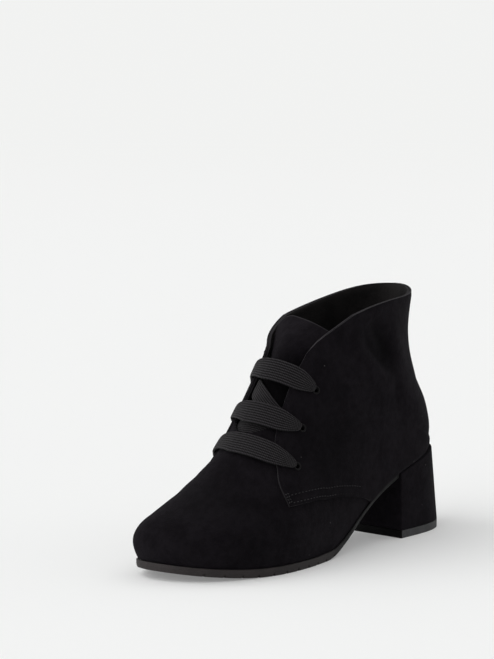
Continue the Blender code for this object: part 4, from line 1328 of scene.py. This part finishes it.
@dataclass
class Stitching:
    """Lockstitch rows on the quarters, each stitch a small rounded bead of thread."""

    upper: Upper
    materials: Materials
    pitch: float = 0.0028
    stitch_length: float = 0.0015
    radius: float = 0.00028
    lift: float = 0.00004
    sunk: float = -0.00014
    tack_pitch: float = 0.0016
    tack_slant: float = 0.6

    def bead(self) -> tuple[np.ndarray, list[tuple[int, ...]]]:
        """One stitch along X on z = 0, modelled once.

        Returns:
            Points and faces of the stitch.
        """
        deselect()
        bpy.ops.mesh.primitive_uv_sphere_add(segments=6, ring_count=5, radius=1.0)
        bead = bpy.context.active_object
        points = np.array([vertex.co[:] for vertex in bead.data.vertices])
        points = points[:, [2, 0, 1]] * (self.stitch_length / 2, self.radius, self.radius)
        faces = [tuple(polygon.vertices) for polygon in bead.data.polygons]
        bpy.data.objects.remove(bead, do_unlink=True)
        return points, faces

    def row_frames(self, line: np.ndarray, side: Side, pitch: float) -> list[tuple[np.ndarray, ...]]:
        """Place, run and outward direction of each stitch along a line."""
        count = max(int(float(run_lengths(line)[-1]) / pitch), 2)
        spots = resample(line, 2 * count + 1)
        frames = []
        for number in range(1, 2 * count, 2):
            run = unit(spots[number + 1] - spots[number - 1])
            frames.append((spots[number], run, self.outward_at(spots[number], side)))
        return frames

    def outward_at(self, spot: np.ndarray, side: Side) -> np.ndarray:
        """Outward direction of the last nearest to a spot."""
        points = self.upper.last.points[side]
        gaps = np.linalg.norm(points[::2, ::2] - spot, axis=-1)
        row, place = np.unravel_index(int(np.argmin(gaps)), gaps.shape)
        return self.upper.last.normals[side][2 * row, 2 * place]

    def tack_frames(self, line: np.ndarray, side: Side) -> list[tuple[np.ndarray, ...]]:
        """Stitches of a bar tack: side by side along a line, each laid across it at a slant."""
        frames = []
        for number, (spot, run, outward) in enumerate(self.row_frames(line, side, self.tack_pitch)):
            slant = self.tack_slant if number % 2 else -self.tack_slant
            frames.append((spot, unit(unit(np.cross(outward, run)) + run * slant), outward))
        return frames

    def build(self) -> None:
        """Builds the light rows along the seam and the dark ones at the edges of each quarter."""
        bead = self.bead()
        for side in Side:
            shown, hidden = [], []
            for name, line in self.upper.rows(side).items():
                if name.startswith("tack"):
                    shown += self.tack_frames(line, side)
                elif name.startswith("seam"):
                    shown += self.row_frames(line, side, self.pitch)
                else:
                    hidden += self.row_frames(line, side, self.pitch)
            self.lay("seam_stitches_" + side.word, shown, bead, self.materials.thread, self.lift)
            self.lay("edge_stitches_" + side.word, hidden, bead, self.materials.dark_thread, self.sunk)

    def lay(self, name: str, frames: list, bead: tuple, material: bpy.types.Material, lift: float) -> None:
        """Lays a bead of thread at each frame and joins them into one piece."""
        points, faces = bead
        all_points, all_faces = [], []
        for spot, run, outward in frames:
            across = unit(np.cross(outward, run))
            outward = np.cross(run, across)
            turned = points @ np.stack([run, across, outward]) + spot + outward * lift
            shift = len(all_points) * len(points)
            all_faces += [tuple(corner + shift for corner in face) for face in faces]
            all_points.append(turned)
        mesh = bpy.data.meshes.new(name)
        mesh.from_pydata(np.concatenate(all_points).tolist(), [], all_faces)
        piece = add_object(name, mesh)
        turn_out(piece)
        shade_smooth(piece, 80.0)
        dress(piece, (material,), Slot.SUEDE)


@dataclass
class Tongue:
    """Tongue under the lacing, with a free top that stands over the instep."""

    last: Last
    materials: Materials
    wall: float = 0.0018
    rows: int = 90
    columns: int = 48
    highlight_rows: int = 2
    corner_reach: float = 0.024
    corner_drop: float = 38.0
    corner_start: float = 0.35
    corner_round: float = 0.035
    edge_shift: tuple[float, float] = (0.0024, -0.0016)
    edge_rows: float = 8.0
    shade_rows: tuple[float, float] = (0.72, 0.52)
    shade: float = 0.75
    edge_round: float = 0.0005

    def points(self) -> np.ndarray:
        """Outer face of the tongue as rows of points."""
        at = np.linspace(0.0, len(TONGUE_ROWS) - 1, self.rows + 1)
        knots = range(len(TONGUE_ROWS))
        size = {name: smooth(knots, column(TONGUE_ROWS, name), at)[:, None] for name in TongueRow._fields}
        steps = np.linspace(-1.0, 1.0, self.columns + 1)[None, :]
        halves = {}
        for side in Side:
            reach = np.maximum(steps * side.value, 0.0)
            share = reach * size["half_width"] * MM / self.last.half_length(size["station"], side)
            halves[side] = self.last.place(size["station"], share, side, -size["depth"] * MM + 0.0 * share)
        points = np.where((steps >= 0)[..., None], halves[Side.LATERAL], halves[Side.MEDIAL])
        middle = self.last.place(size["station"], 0.0 * size["station"], Side.LATERAL, -size["depth"] * MM)
        for axis in (0, 2):
            points[..., axis] = mix(middle[..., axis], points[..., axis], size["curl"])
        points[..., 1] *= size["widen"]
        outer = np.clip(points[..., 1], 0.0, self.corner_reach)
        points[..., 2] -= size["skew"] * (points[..., 1] + self.corner_drop * outer**2)
        corner = np.clip((-steps - self.corner_start) / (1 - self.corner_start), 0.0, 1.0)
        points[..., 2] -= size["skew"] * self.corner_round * corner**2
        free = eased(np.clip(size["up"] / self.edge_rows, 0.0, 1.0)) * corner**1.5
        points[..., 0] += self.edge_shift[0] * free
        points[..., 1] += self.edge_shift[1] * free
        points[..., 0] -= size["back"] * MM
        points[..., 2] += size["up"] * MM
        return points

    def build(self) -> None:
        """Builds the tongue, suede outside and lining inside."""
        points = self.points()
        piece = sheet("tongue_suede", points)
        outward = np.broadcast_to(np.array([0.7, 0.0, 0.7]), points.shape).reshape(-1, 3)
        face_out(piece, outward)
        # Painted shade on the lower tongue, which lies in shadow under the lacing.
        up = np.linspace(0.0, 1.0, self.rows + 1)[:, None] + np.zeros((1, self.columns + 1))
        high, low = self.shade_rows
        mark_painted_shade(piece, self.shade * np.clip((high - up) / (high - low), 0.0, 1.0))
        dress(piece, (self.materials.suede, self.materials.lining, self.materials.edge), Slot.SUEDE, "tongue")
        # Painted highlight: the top rows of the tongue's face take the light edge colour.
        for polygon in piece.data.polygons[-self.highlight_rows * self.columns:]:
            polygon.material_index = 2
        apply_modifier(
            piece, "SOLIDIFY", thickness=self.wall, offset=-1.0, material_offset=1, material_offset_rim=2
        )
        bevel(piece, self.edge_round, 2, 55.0)
        shade_smooth(piece)


@dataclass
class Lace:
    """Flat braided lace, one run through all six eyelets: bars over the facings, crossings under them."""

    last: Last
    materials: Materials
    width: float = 0.0140
    tip_width: float = 0.0056
    bar_spacing: float = 0.016
    cross_width: float = 0.0112
    bar_reach: float = 0.93
    narrow_start: float = 0.55
    inner_narrow: float = 0.9
    hole_depths: tuple[float, ...] = (-0.0024, -0.0008, 0.0010)
    hole_width: float = 0.0018
    hole_shift: float = 0.0008
    thickness: float = 0.0012
    hole_thickness: float = 0.0015
    bar_height: float = 0.0027
    cross_depth: float = 0.0031
    rib_height: float = 0.00042
    ribs: int = 9
    points_per_rib: int = 4
    bar_steps: int = 44
    cross_steps: int = 30
    ring_pitch: float = 0.0008

    def bar_route(self, lacing: Lacing) -> list[tuple[np.ndarray, np.ndarray, float, float]]:
        """Middle line of one bar from the inner to the outer eyelet, down into both holes.

        Args:
            lacing: Pair of eyelets.

        Returns:
            Point, direction of the width, width and thickness of each ring.
        """
        route = [self.hole_ring(lacing, Side.MEDIAL, depth) for depth in self.hole_depths]
        for step in np.linspace(-1.0, 1.0, self.bar_steps + 1):
            share = abs(step)
            side = side_of(step)
            place = share * self.bar_reach
            station = mix(lacing.middle, lacing.station, place**2)
            reach = lacing.reach / 100 * place
            narrow = np.clip((share - self.narrow_start) / (1 - self.narrow_start), 0.0, 1.0)
            wide = mix(self.width, self.tip_width, narrow**1.8)
            if side is Side.MEDIAL:
                wide = mix(self.width, self.tip_width, np.clip(share / self.inner_narrow, 0.0, 1.0))
                station += (self.width - wide) / 2 / self.bar_spacing * (1 - share)
            thick = mix(self.thickness, self.hole_thickness, narrow**3)
            point = self.last.place(station, reach, side, self.bar_height)
            route.append((point, self.up_foot(station, reach, side), wide, thick))
        route += [self.hole_ring(lacing, Side.LATERAL, depth) for depth in self.hole_depths[::-1]]
        return route

    def cross_route(self, crossing: Crossing) -> list[tuple[np.ndarray, np.ndarray, float, float]]:
        """Middle line of a crossing under the facings, its width square to its run."""
        places = np.array(crossing.places)
        knots = range(len(places))
        at = np.linspace(0.0, len(places) - 1, self.cross_steps + 1)
        stations, reaches = smooth(knots, places[:, 0], at), smooth(knots, places[:, 1], at) / 100
        points, normals = [], []
        for station, reach in zip(stations, reaches):
            side = side_of(reach)
            points.append(self.last.place(station, abs(reach), side, -self.cross_depth))
            normals.append(self.last.normal(station, abs(reach), side))
        across = unit(np.cross(np.array(normals), np.gradient(np.array(points), axis=0)))
        if across[0, 2] < 0:
            across = -across
        fullness = np.clip(np.sin(np.pi * at / at[-1]) * 1.5, 0.0, 1.0)
        widths = mix(self.hole_width * 1.3, self.cross_width, fullness)
        return [(points[i], across[i], widths[i], self.thickness) for i in range(len(points))]

    def hole_ring(
        self, lacing: Lacing, side: Side, height: float
    ) -> tuple[np.ndarray, np.ndarray, float, float]:
        """Ring of the gathered lace inside an eyelet."""
        reach = lacing.reach / 100 - self.hole_shift / float(self.last.half_length(lacing.station, side))
        point = self.last.place(lacing.station, reach, side, height)
        return point, self.up_foot(lacing.station, reach, side), self.hole_width, self.hole_thickness

    def up_foot(self, station: float, reach: float, side: Side) -> np.ndarray:
        """Direction up the foot along the last."""
        above = self.last.place(station + 0.1, reach, side)
        return unit(above - self.last.place(station - 0.1, reach, side))

    def route(self) -> tuple[np.ndarray, np.ndarray, np.ndarray, np.ndarray]:
        """Whole run of the lace at even steps: points, width directions, widths and thicknesses."""
        stops = []
        for number, lacing in enumerate(LACING):
            stops += self.bar_route(lacing)
            if number + 1 < len(LACING):
                stops += self.cross_route(CROSSINGS[number])
        points = np.array([stop[0] for stop in stops])
        lengths = run_lengths(points)
        at = np.arange(0.0, lengths[-1], self.ring_pitch)
        values = np.column_stack([points, [stop[1] for stop in stops], [stop[2:] for stop in stops]])
        even = np.stack([np.interp(at, lengths, values[:, item]) for item in range(values.shape[1])], axis=1)
        for _ in range(2):
            even[1:-1] = (even[:-2] + 2 * even[1:-1] + even[2:]) / 4
        return even[:, :3], unit(even[:, 3:6]), even[:, 6], even[:, 7]

    def profile(self) -> np.ndarray:
        """Cross section of the lace for a width and a thickness of one: ribs on both faces."""
        count = self.ribs * self.points_per_rib
        across = np.linspace(-0.5, 0.5, count + 1)
        rib = np.abs(np.sin(np.pi * self.ribs * (across + 0.5)))
        round_edge = np.sqrt(np.clip(1 - (2 * np.abs(across)) ** 8, 0.0, 1.0))
        top = np.stack([across, round_edge * 0.5, rib], axis=1)
        bottom = top[-2:0:-1] * (1.0, -1.0, -1.0)
        return np.concatenate([top, bottom])

    def build(self) -> None:
        """Builds the lace as one ribbed band."""
        points, across, widths, thicknesses = self.route()
        run = unit(np.gradient(points, axis=0))
        across = unit(across - run * np.sum(across * run, axis=1, keepdims=True))
        face = np.cross(across, run)
        profile = self.profile()
        rib = self.rib_height * (widths / self.width)
        rings = points[:, None, :] + across[:, None, :] * (profile[None, :, 0] * widths[:, None])[..., None]
        lift = profile[None, :, 1] * thicknesses[:, None] + profile[None, :, 2] * rib[:, None]
        rings = rings + face[:, None, :] * lift[..., None]
        piece = tube("lace", rings)
        self.map_plait(piece, len(points) * self.ring_pitch, len(profile))
        nodes = ["lace_bar_%d" % lacing.number for lacing in LACING]
        nodes += ["lace_cross_%d" % crossing.number for crossing in CROSSINGS]
        shade_smooth(piece, 60.0)
        dress(piece, (self.materials.lace,), Slot.LACE, *nodes)
        log.info("lace runs %.0f mm", len(points) * self.ring_pitch / MM)

    def map_plait(self, piece: bpy.types.Object, length: float, around: int) -> None:
        """Scales the UV map so that U runs across each face of the lace and V along it in metres."""
        layer = piece.data.uv_layers[0].data
        values = np.zeros(len(layer) * 2, np.float32)
        layer.foreach_get("uv", values)
        values = values.reshape(-1, 2)
        half = (self.ribs * self.points_per_rib) / around
        values[:, 0] = np.where(values[:, 0] <= half, values[:, 0] / half, (values[:, 0] - half) / (1 - half))
        values[:, 1] *= length
        layer.foreach_set("uv", values.ravel())


@dataclass
class Eyelets:
    """Small blackened eyelets, a rolled flange over a barrel, set in pairs."""

    last: Last
    materials: Materials
    hole: float = 0.0015
    barrel: float = 0.0019
    flange: float = 0.0026
    seat: float = 0.0018
    foot: float = -0.0019
    roll: float = 0.0005
    sides: int = 40

    def profile(self) -> list[tuple[float, float]]:
        """Half profile of an eyelet, radius and height, from the barrel's foot over the rolled flange."""
        points = [(self.hole, self.foot), (self.barrel, self.foot), (self.barrel, self.seat)]
        points.append((self.flange - self.roll / 2, self.seat))
        middle = (self.flange + self.hole) / 2
        half = (self.flange - self.hole) / 2
        for step in range(9):
            angle = math.pi * step / 8
            points.append((middle + half * math.cos(angle), self.seat + self.roll * math.sin(angle)))
        return points

    def build(self) -> None:
        """Models one eyelet and copies it to each place."""
        profile = self.profile()
        angles = np.linspace(0.0, 2 * np.pi, self.sides, endpoint=False)
        rings = turned(profile + profile[:1], angles)
        model = sheet("eyelet", np.concatenate([rings, rings[:, :1]], axis=1))
        merge_doubles(model, 0.000002)
        turn_out(model)
        shade_smooth(model, 50.0)
        for lacing in LACING:
            for side in Side:
                name = "eyelet_%s_%d" % (side.word, lacing.number)
                copy = model.copy()
                copy.data = model.data.copy()
                copy.name = name + "_turned"
                copy.data.name = copy.name
                bpy.context.scene.collection.objects.link(copy)
                copy.data.transform(eyelet_frame(self.last, lacing, side))
                dress(copy, (self.materials.metal,), Slot.METAL, name)
        bpy.data.objects.remove(model, do_unlink=True)


@dataclass
class Bottom:
    """Rubber sole, covered heel with its top piece, and the insole board inside."""

    last: Last
    materials: Materials
    gap: float = 0.0003
    sole_edge: float = 0.0055
    waist_edge: float = 0.0036
    toe_edge: float = 0.0048
    sole_margin: float = 0.0010
    chamfer: float = 0.0008
    waist_start: float = 0.06
    toe_start: float = 0.30
    edge_change: float = 0.20
    groove_width: float = 0.0013
    groove_depth: float = 0.0014
    groove_pitch: float = 0.0098
    groove_first: float = 0.0060
    groove_count: int = 11
    ring_pitch: float = 0.0012
    toe_steps: int = 26
    breast_x: float = -0.0665
    heel_margin: float = 0.0022
    floor_margin: float = 0.0026
    back_flare: float = 0.0040
    heel_top_round: float = 0.0008
    block_round: float = 0.0007
    top_piece_round: float = 0.0004
    top_square: float = 2.6
    floor_square: float = 3.0
    top_piece: float = 0.0050
    heel_steps: int = 40
    heel_levels: int = 24
    insole_thickness: float = 0.0030
    insole_inset: float = 0.0044
    insole_end: float = 0.0040
    insole_blunt: float = 0.002
    insole_dish: float = 0.0006
    insole_rings: int = 80

    def thickness(self, x: np.ndarray) -> np.ndarray:
        """Edge thickness of the sole, thinner at the waist and the toe."""
        share = (x - self.last.frame_shift) / self.last.length
        waist = np.clip((self.waist_start - share) / self.edge_change, 0.0, 1.0)
        toe = np.clip((share - self.toe_start) / self.edge_change, 0.0, 1.0)
        thinner = (self.waist_edge - self.sole_edge) * waist
        return self.sole_edge + thinner + (self.toe_edge - self.sole_edge) * toe

    def sole_places(self, front: float) -> tuple[np.ndarray, np.ndarray]:
        """Places along the sole with the groove depth there, grooves as steps."""
        start = self.breast_x + 2 * self.gap
        places = [(x, 0.0) for x in np.arange(start, self.groove_first - self.groove_width, self.ring_pitch)]
        half = self.groove_width / 2
        for number in range(self.groove_count):
            x = self.groove_first + self.groove_pitch * number
            near, far = x - half, x + half
            places += [(near, 0.0), (near, self.groove_depth), (far, self.groove_depth), (far, 0.0)]
            if number + 1 < self.groove_count:
                end = x + self.groove_pitch - half - self.ring_pitch / 2
                rest = np.arange(far + self.ring_pitch, end, self.ring_pitch)
                places += [(between, 0.0) for between in rest]
        last_x = places[-1][0]
        turns = np.sin(np.pi / 2 * np.arange(1, self.toe_steps + 1) / self.toe_steps)
        places += [(x, 0.0) for x in mix(last_x, front - 0.00002, turns)]
        values = np.array(places)
        return values[:, 0], values[:, 1]

    def build_sole(self) -> None:
        """Sole from toe to heel breast, cross grooves reaching its lower edge."""
        front = float(self.last.outline(Side.LATERAL, self.sole_margin)[0][0])
        x, groove = self.sole_places(front)
        outer = self.last.outline_y(x, Side.LATERAL, self.sole_margin)
        inner = self.last.outline_y(x, Side.MEDIAL, self.sole_margin)
        top = self.last.feather_height(x) - self.gap
        tread = np.maximum(self.last.feather_height(x) - self.thickness(x), 0.0)
        chamfer = np.minimum(self.chamfer, (outer - inner) / 4)
        side_end = tread + self.groove_depth + self.chamfer
        low = tread + groove
        lines = [
            (inner + 0.4 * chamfer, top),
            (inner, top - 0.4 * self.chamfer),
            (inner, side_end),
            (inner + 0.3 * chamfer, mix(side_end, low, 0.7)),
            (inner + chamfer, low),
            (mix(inner, outer, 0.35), low),
            (mix(inner, outer, 0.65), low),
            (outer - chamfer, low),
            (outer - 0.3 * chamfer, mix(side_end, low, 0.7)),
            (outer, side_end),
            (outer, top - 0.4 * self.chamfer),
            (outer - 0.4 * chamfer, top),
        ]
        piece = tube("outsole_rubber", rings_across(x, lines))
        shade_smooth(piece, 32.0)
        dress(piece, (self.materials.rubber,), Slot.RUBBER, "outsole")

    def heel_plan(self, margin: float, flare: float, squareness: float) -> np.ndarray:
        """Plan of the heel from breast round the back, with a flare that grows towards the back.

        Args:
            margin: Distance out from the seat's outline.
            flare: Distance that the back is carried out.
            squareness: Power of the turn to the back.

        Returns:
            X, Y and the X before the flare, all round the heel.
        """
        lines = []
        share = np.sin(np.pi / 2 * np.arange(self.heel_steps + 1) / self.heel_steps)
        for side in (Side.LATERAL, Side.MEDIAL):
            back = float(self.last.outline(side, margin)[-1][0])
            x = mix(self.breast_x, back, share)
            start = float(self.last.along(SECTIONS[STATION["seat"]].base_x))
            way = np.clip((start - x) / (start - back), 0.0, 1.0)
            left = (1 - way**squareness) ** (1 / squareness)
            y = self.last.outline_y(np.maximum(x, start), side, margin) * left
            lines.append(np.stack([x - flare * share, y, x], axis=1))
        return np.concatenate([lines[0], lines[1][-2::-1]])

    def build_heel(self) -> None:
        """Covered heel block under the seat, and its top piece on the floor."""
        crown = self.heel_plan(self.heel_margin - self.heel_top_round, 0.0, self.top_square)
        top = self.heel_plan(self.heel_margin, 0.0, self.top_square)
        floor = self.heel_plan(self.floor_margin, self.back_flare, self.floor_square)
        start = self.top_piece + self.gap
        rings = []
        for share in np.linspace(0.0, 1.0, self.heel_levels + 1):
            height = mix(start, self.last.feather_height(top[:, 2]) - self.gap - self.heel_top_round, share)
            plan = mix(floor[:, :2], top[:, :2], share)
            rings.append(np.column_stack([plan, height]))
        rings.append(np.column_stack([crown[:, :2], self.last.feather_height(crown[:, 0]) - self.gap]))
        block = tube("heel_cover", np.array(rings))
        self.round_edges(block, self.block_round)
        dress(block, (self.materials.suede,), Slot.SUEDE, "heel_block")
        levels = [np.column_stack([floor[:, :2], np.full(len(floor), z)]) for z in (0.0, self.top_piece)]
        lift = tube("heel_top_rubber", np.array(levels))
        self.round_edges(lift, self.top_piece_round)
        dress(lift, (self.materials.top_rubber,), Slot.RUBBER, "heel_top_piece")

    def round_edges(self, piece: bpy.types.Object, width: float) -> None:
        """Rounds the edges of a solid and shades it."""
        bevel(piece, width, 3, 50.0)
        shade_smooth(piece, 45.0)

    def build_insole(self) -> None:
        """Insole board lying on sole and heel inside the wall, with a soft dish."""
        front = float(self.last.outline(Side.LATERAL, 0.0)[0][0])
        back = float(self.last.outline(Side.LATERAL, 0.0)[-1][0])
        steps = (1 - np.cos(np.pi * np.arange(self.insole_rings + 1) / self.insole_rings)) / 2
        share = mix(self.insole_blunt, 1 - self.insole_blunt, steps)
        outer = self.last.outline_y(mix(back, front, share), Side.LATERAL, 0.0)
        inner = self.last.outline_y(mix(back, front, share), Side.MEDIAL, 0.0)
        centre, half = (outer + inner) / 2, (outer - inner) / 2
        half = half - self.insole_inset * half / (half + self.insole_inset)
        x = mix(back + self.insole_end, front - self.insole_end, share)
        low = self.last.feather_height(x) + self.gap
        high = low + self.insole_thickness
        across = np.linspace(-1.0, 1.0, 9)
        lines = [(centre + half * step, high - self.insole_dish * (1 - step**2)) for step in across]
        lines += [(centre + half, low), (centre - half, low)]
        piece = tube("insole_sock", rings_across(x, lines))
        shade_smooth(piece, 40.0)
        dress(piece, (self.materials.lining,), Slot.LINING, "insole")

    def build(self) -> None:
        """Builds sole, heel and insole."""
        self.build_sole()
        self.build_heel()
        self.build_insole()


@dataclass(frozen=True)
class Lamp:
    """Wide soft light from afar: where it comes from, its spread in degrees and its strength."""

    name: str
    place: tuple[float, float, float]
    spread: float
    strength: float


LAMPS = (
    Lamp("toe_side", (2.2, -1.2, 1.6), 80.0, 1.9),
    Lamp("heel_side", (-2.0, 1.0, 1.2), 60.0, 0.25),
)


@dataclass
class Studio:
    """Pale floor that curves up all round and fades into an even glow, soft light and the camera."""

    floor_radius: float = 30.0
    sweep: float = 2.0
    wall_height: float = 0.5
    floor_colour: tuple[float, float, float] = (0.72, 0.725, 0.72)
    floor_glow: tuple[float, float, float] = (0.20, 0.20, 0.20)
    far_glow: tuple[float, float, float] = (0.885, 0.890, 0.882)
    fade_reach: tuple[float, float] = (1.0, 5.0)
    sky_low: float = 0.37
    sky_high: float = 0.80
    dim_side: tuple[float, float, float] = (0.35, 0.94, 0.0)
    dimming: float = 0.6
    aim: tuple[float, float, float] = (0.0, 0.0, 0.07)
    camera_turn: float = 40.4
    camera_lift: float = 7.1
    camera_distance: float = 1.5
    camera_slide: float = -0.0287
    camera_raise: float = 0.1332
    camera_shift: float = 0.0015
    focal_pixels: float = 2481.0
    image_height: float = 659.0
    sensor: float = 36.0

    def build_floor(self) -> None:
        """Round floor with a curved rise, turned from one profile."""
        profile = [(0.0, 0.0), (self.floor_radius * 0.5, 0.0)]
        for step in range(17):
            angle = math.pi / 2 * step / 16
            reach = self.floor_radius + self.sweep * math.sin(angle)
            profile.append((reach, self.sweep * (1 - math.cos(angle))))
        profile.append((self.floor_radius + self.sweep, self.sweep + self.wall_height))
        rows = turned(profile, np.linspace(0.0, 2 * np.pi, 97))
        floor = sheet("studio_floor", rows)
        merge_doubles(floor, 0.0001)
        shade_smooth(floor, 60.0)
        material, kit, shader = new_material("studio_paper")
        spot = kit.add("ShaderNodeTexCoord").outputs["Object"]
        far = kit.add("ShaderNodeVectorMath", {0: spot}, operation="LENGTH").outputs["Value"]
        far = kit.ramp(far, *self.fade_reach)
        kit.feed(shader, {
            "Base Color": kit.blend(far, (*self.floor_colour, 1.0), (0.0, 0.0, 0.0, 1.0)),
            "Emission Color": kit.blend(far, (*self.floor_glow, 1.0), (*self.far_glow, 1.0)),
            "Emission Strength": 1.0,
            "Roughness": 0.75,
            "Specular IOR Level": 0.0,
        })
        floor.data.materials.clear()
        floor.data.materials.append(material)

    def add_light(self, lamp: Lamp) -> None:
        """Adds a lamp that looks at the boot."""
        data = bpy.data.lights.new(lamp.name, "SUN")
        data.angle = math.radians(lamp.spread)
        data.energy = lamp.strength
        light = add_object(lamp.name, data)
        light.location = lamp.place
        way = Vector(self.aim) - Vector(lamp.place)
        light.rotation_euler = way.to_track_quat("-Z", "Y").to_euler()

    def build_light(self) -> None:
        """Pale sky that is brighter overhead and dimmer on the outer side, and soft light from two sides."""
        world = bpy.data.worlds.new("studio_world")
        world.use_nodes = True
        background = world.node_tree.nodes["Background"]
        background.inputs["Color"].default_value = (1.0, 1.0, 1.0, 1.0)
        kit = NodeKit(world.node_tree)
        direction = kit.add("ShaderNodeTexCoord").outputs["Generated"]
        height = kit.add("ShaderNodeSeparateXYZ", {0: direction}).outputs[2]
        sides = {0: direction, 1: self.dim_side}
        towards = kit.add("ShaderNodeVectorMath", sides, operation="DOT_PRODUCT").outputs["Value"]
        strength = kit.ramp(height, 0.0, 0.9, self.sky_low, self.sky_high)
        strength = kit.math("MULTIPLY", strength, kit.ramp(towards, 0.0, 1.0, 1.0, 1.0 - self.dimming))
        world.node_tree.links.new(strength, background.inputs["Strength"])
        bpy.context.scene.world = world
        for lamp in LAMPS:
            self.add_light(lamp)

    def build_camera(self) -> None:
        """Camera at the photograph's place and angle."""
        turn, lift = math.radians(self.camera_turn), math.radians(self.camera_lift)
        right = Vector((-math.sin(turn), math.cos(turn), 0.0))
        back = Vector((math.cos(turn) * math.cos(lift), math.sin(turn) * math.cos(lift), math.sin(lift)))
        up = back.cross(right)
        place = Vector((self.camera_shift, 0.0, 0.0)) + back * self.camera_distance
        place += right * self.camera_slide + up * self.camera_raise
        data = bpy.data.cameras.new("camera")
        data.sensor_width = self.sensor
        data.lens = self.focal_pixels * self.sensor / self.image_height
        data.clip_end = 50.0
        camera = add_object("camera", data)
        turn_matrix = Matrix((right, up, back)).transposed().to_4x4()
        camera.matrix_world = Matrix.Translation(place) @ turn_matrix
        bpy.context.scene.camera = camera

    def build(self) -> None:
        """Builds floor, light and camera."""
        self.build_camera()
        self.build_floor()
        self.build_light()
        bpy.context.scene.view_settings.view_transform = "Standard"


def main() -> None:
    """Builds the boot's pieces in order."""
    logging.basicConfig(level=logging.INFO, format="%(name)s: %(message)s")
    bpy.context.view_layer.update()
    Studio().build()
    materials = Materials()
    last = Last()
    upper = Upper(last, Pattern(last), materials)
    upper.build()
    Stitching(upper, materials).build()
    Tongue(last, materials).build()
    Bottom(last, materials).build()
    Lace(last, materials).build()
    Eyelets(last, materials).build()


if __name__ == "__main__":
    main()
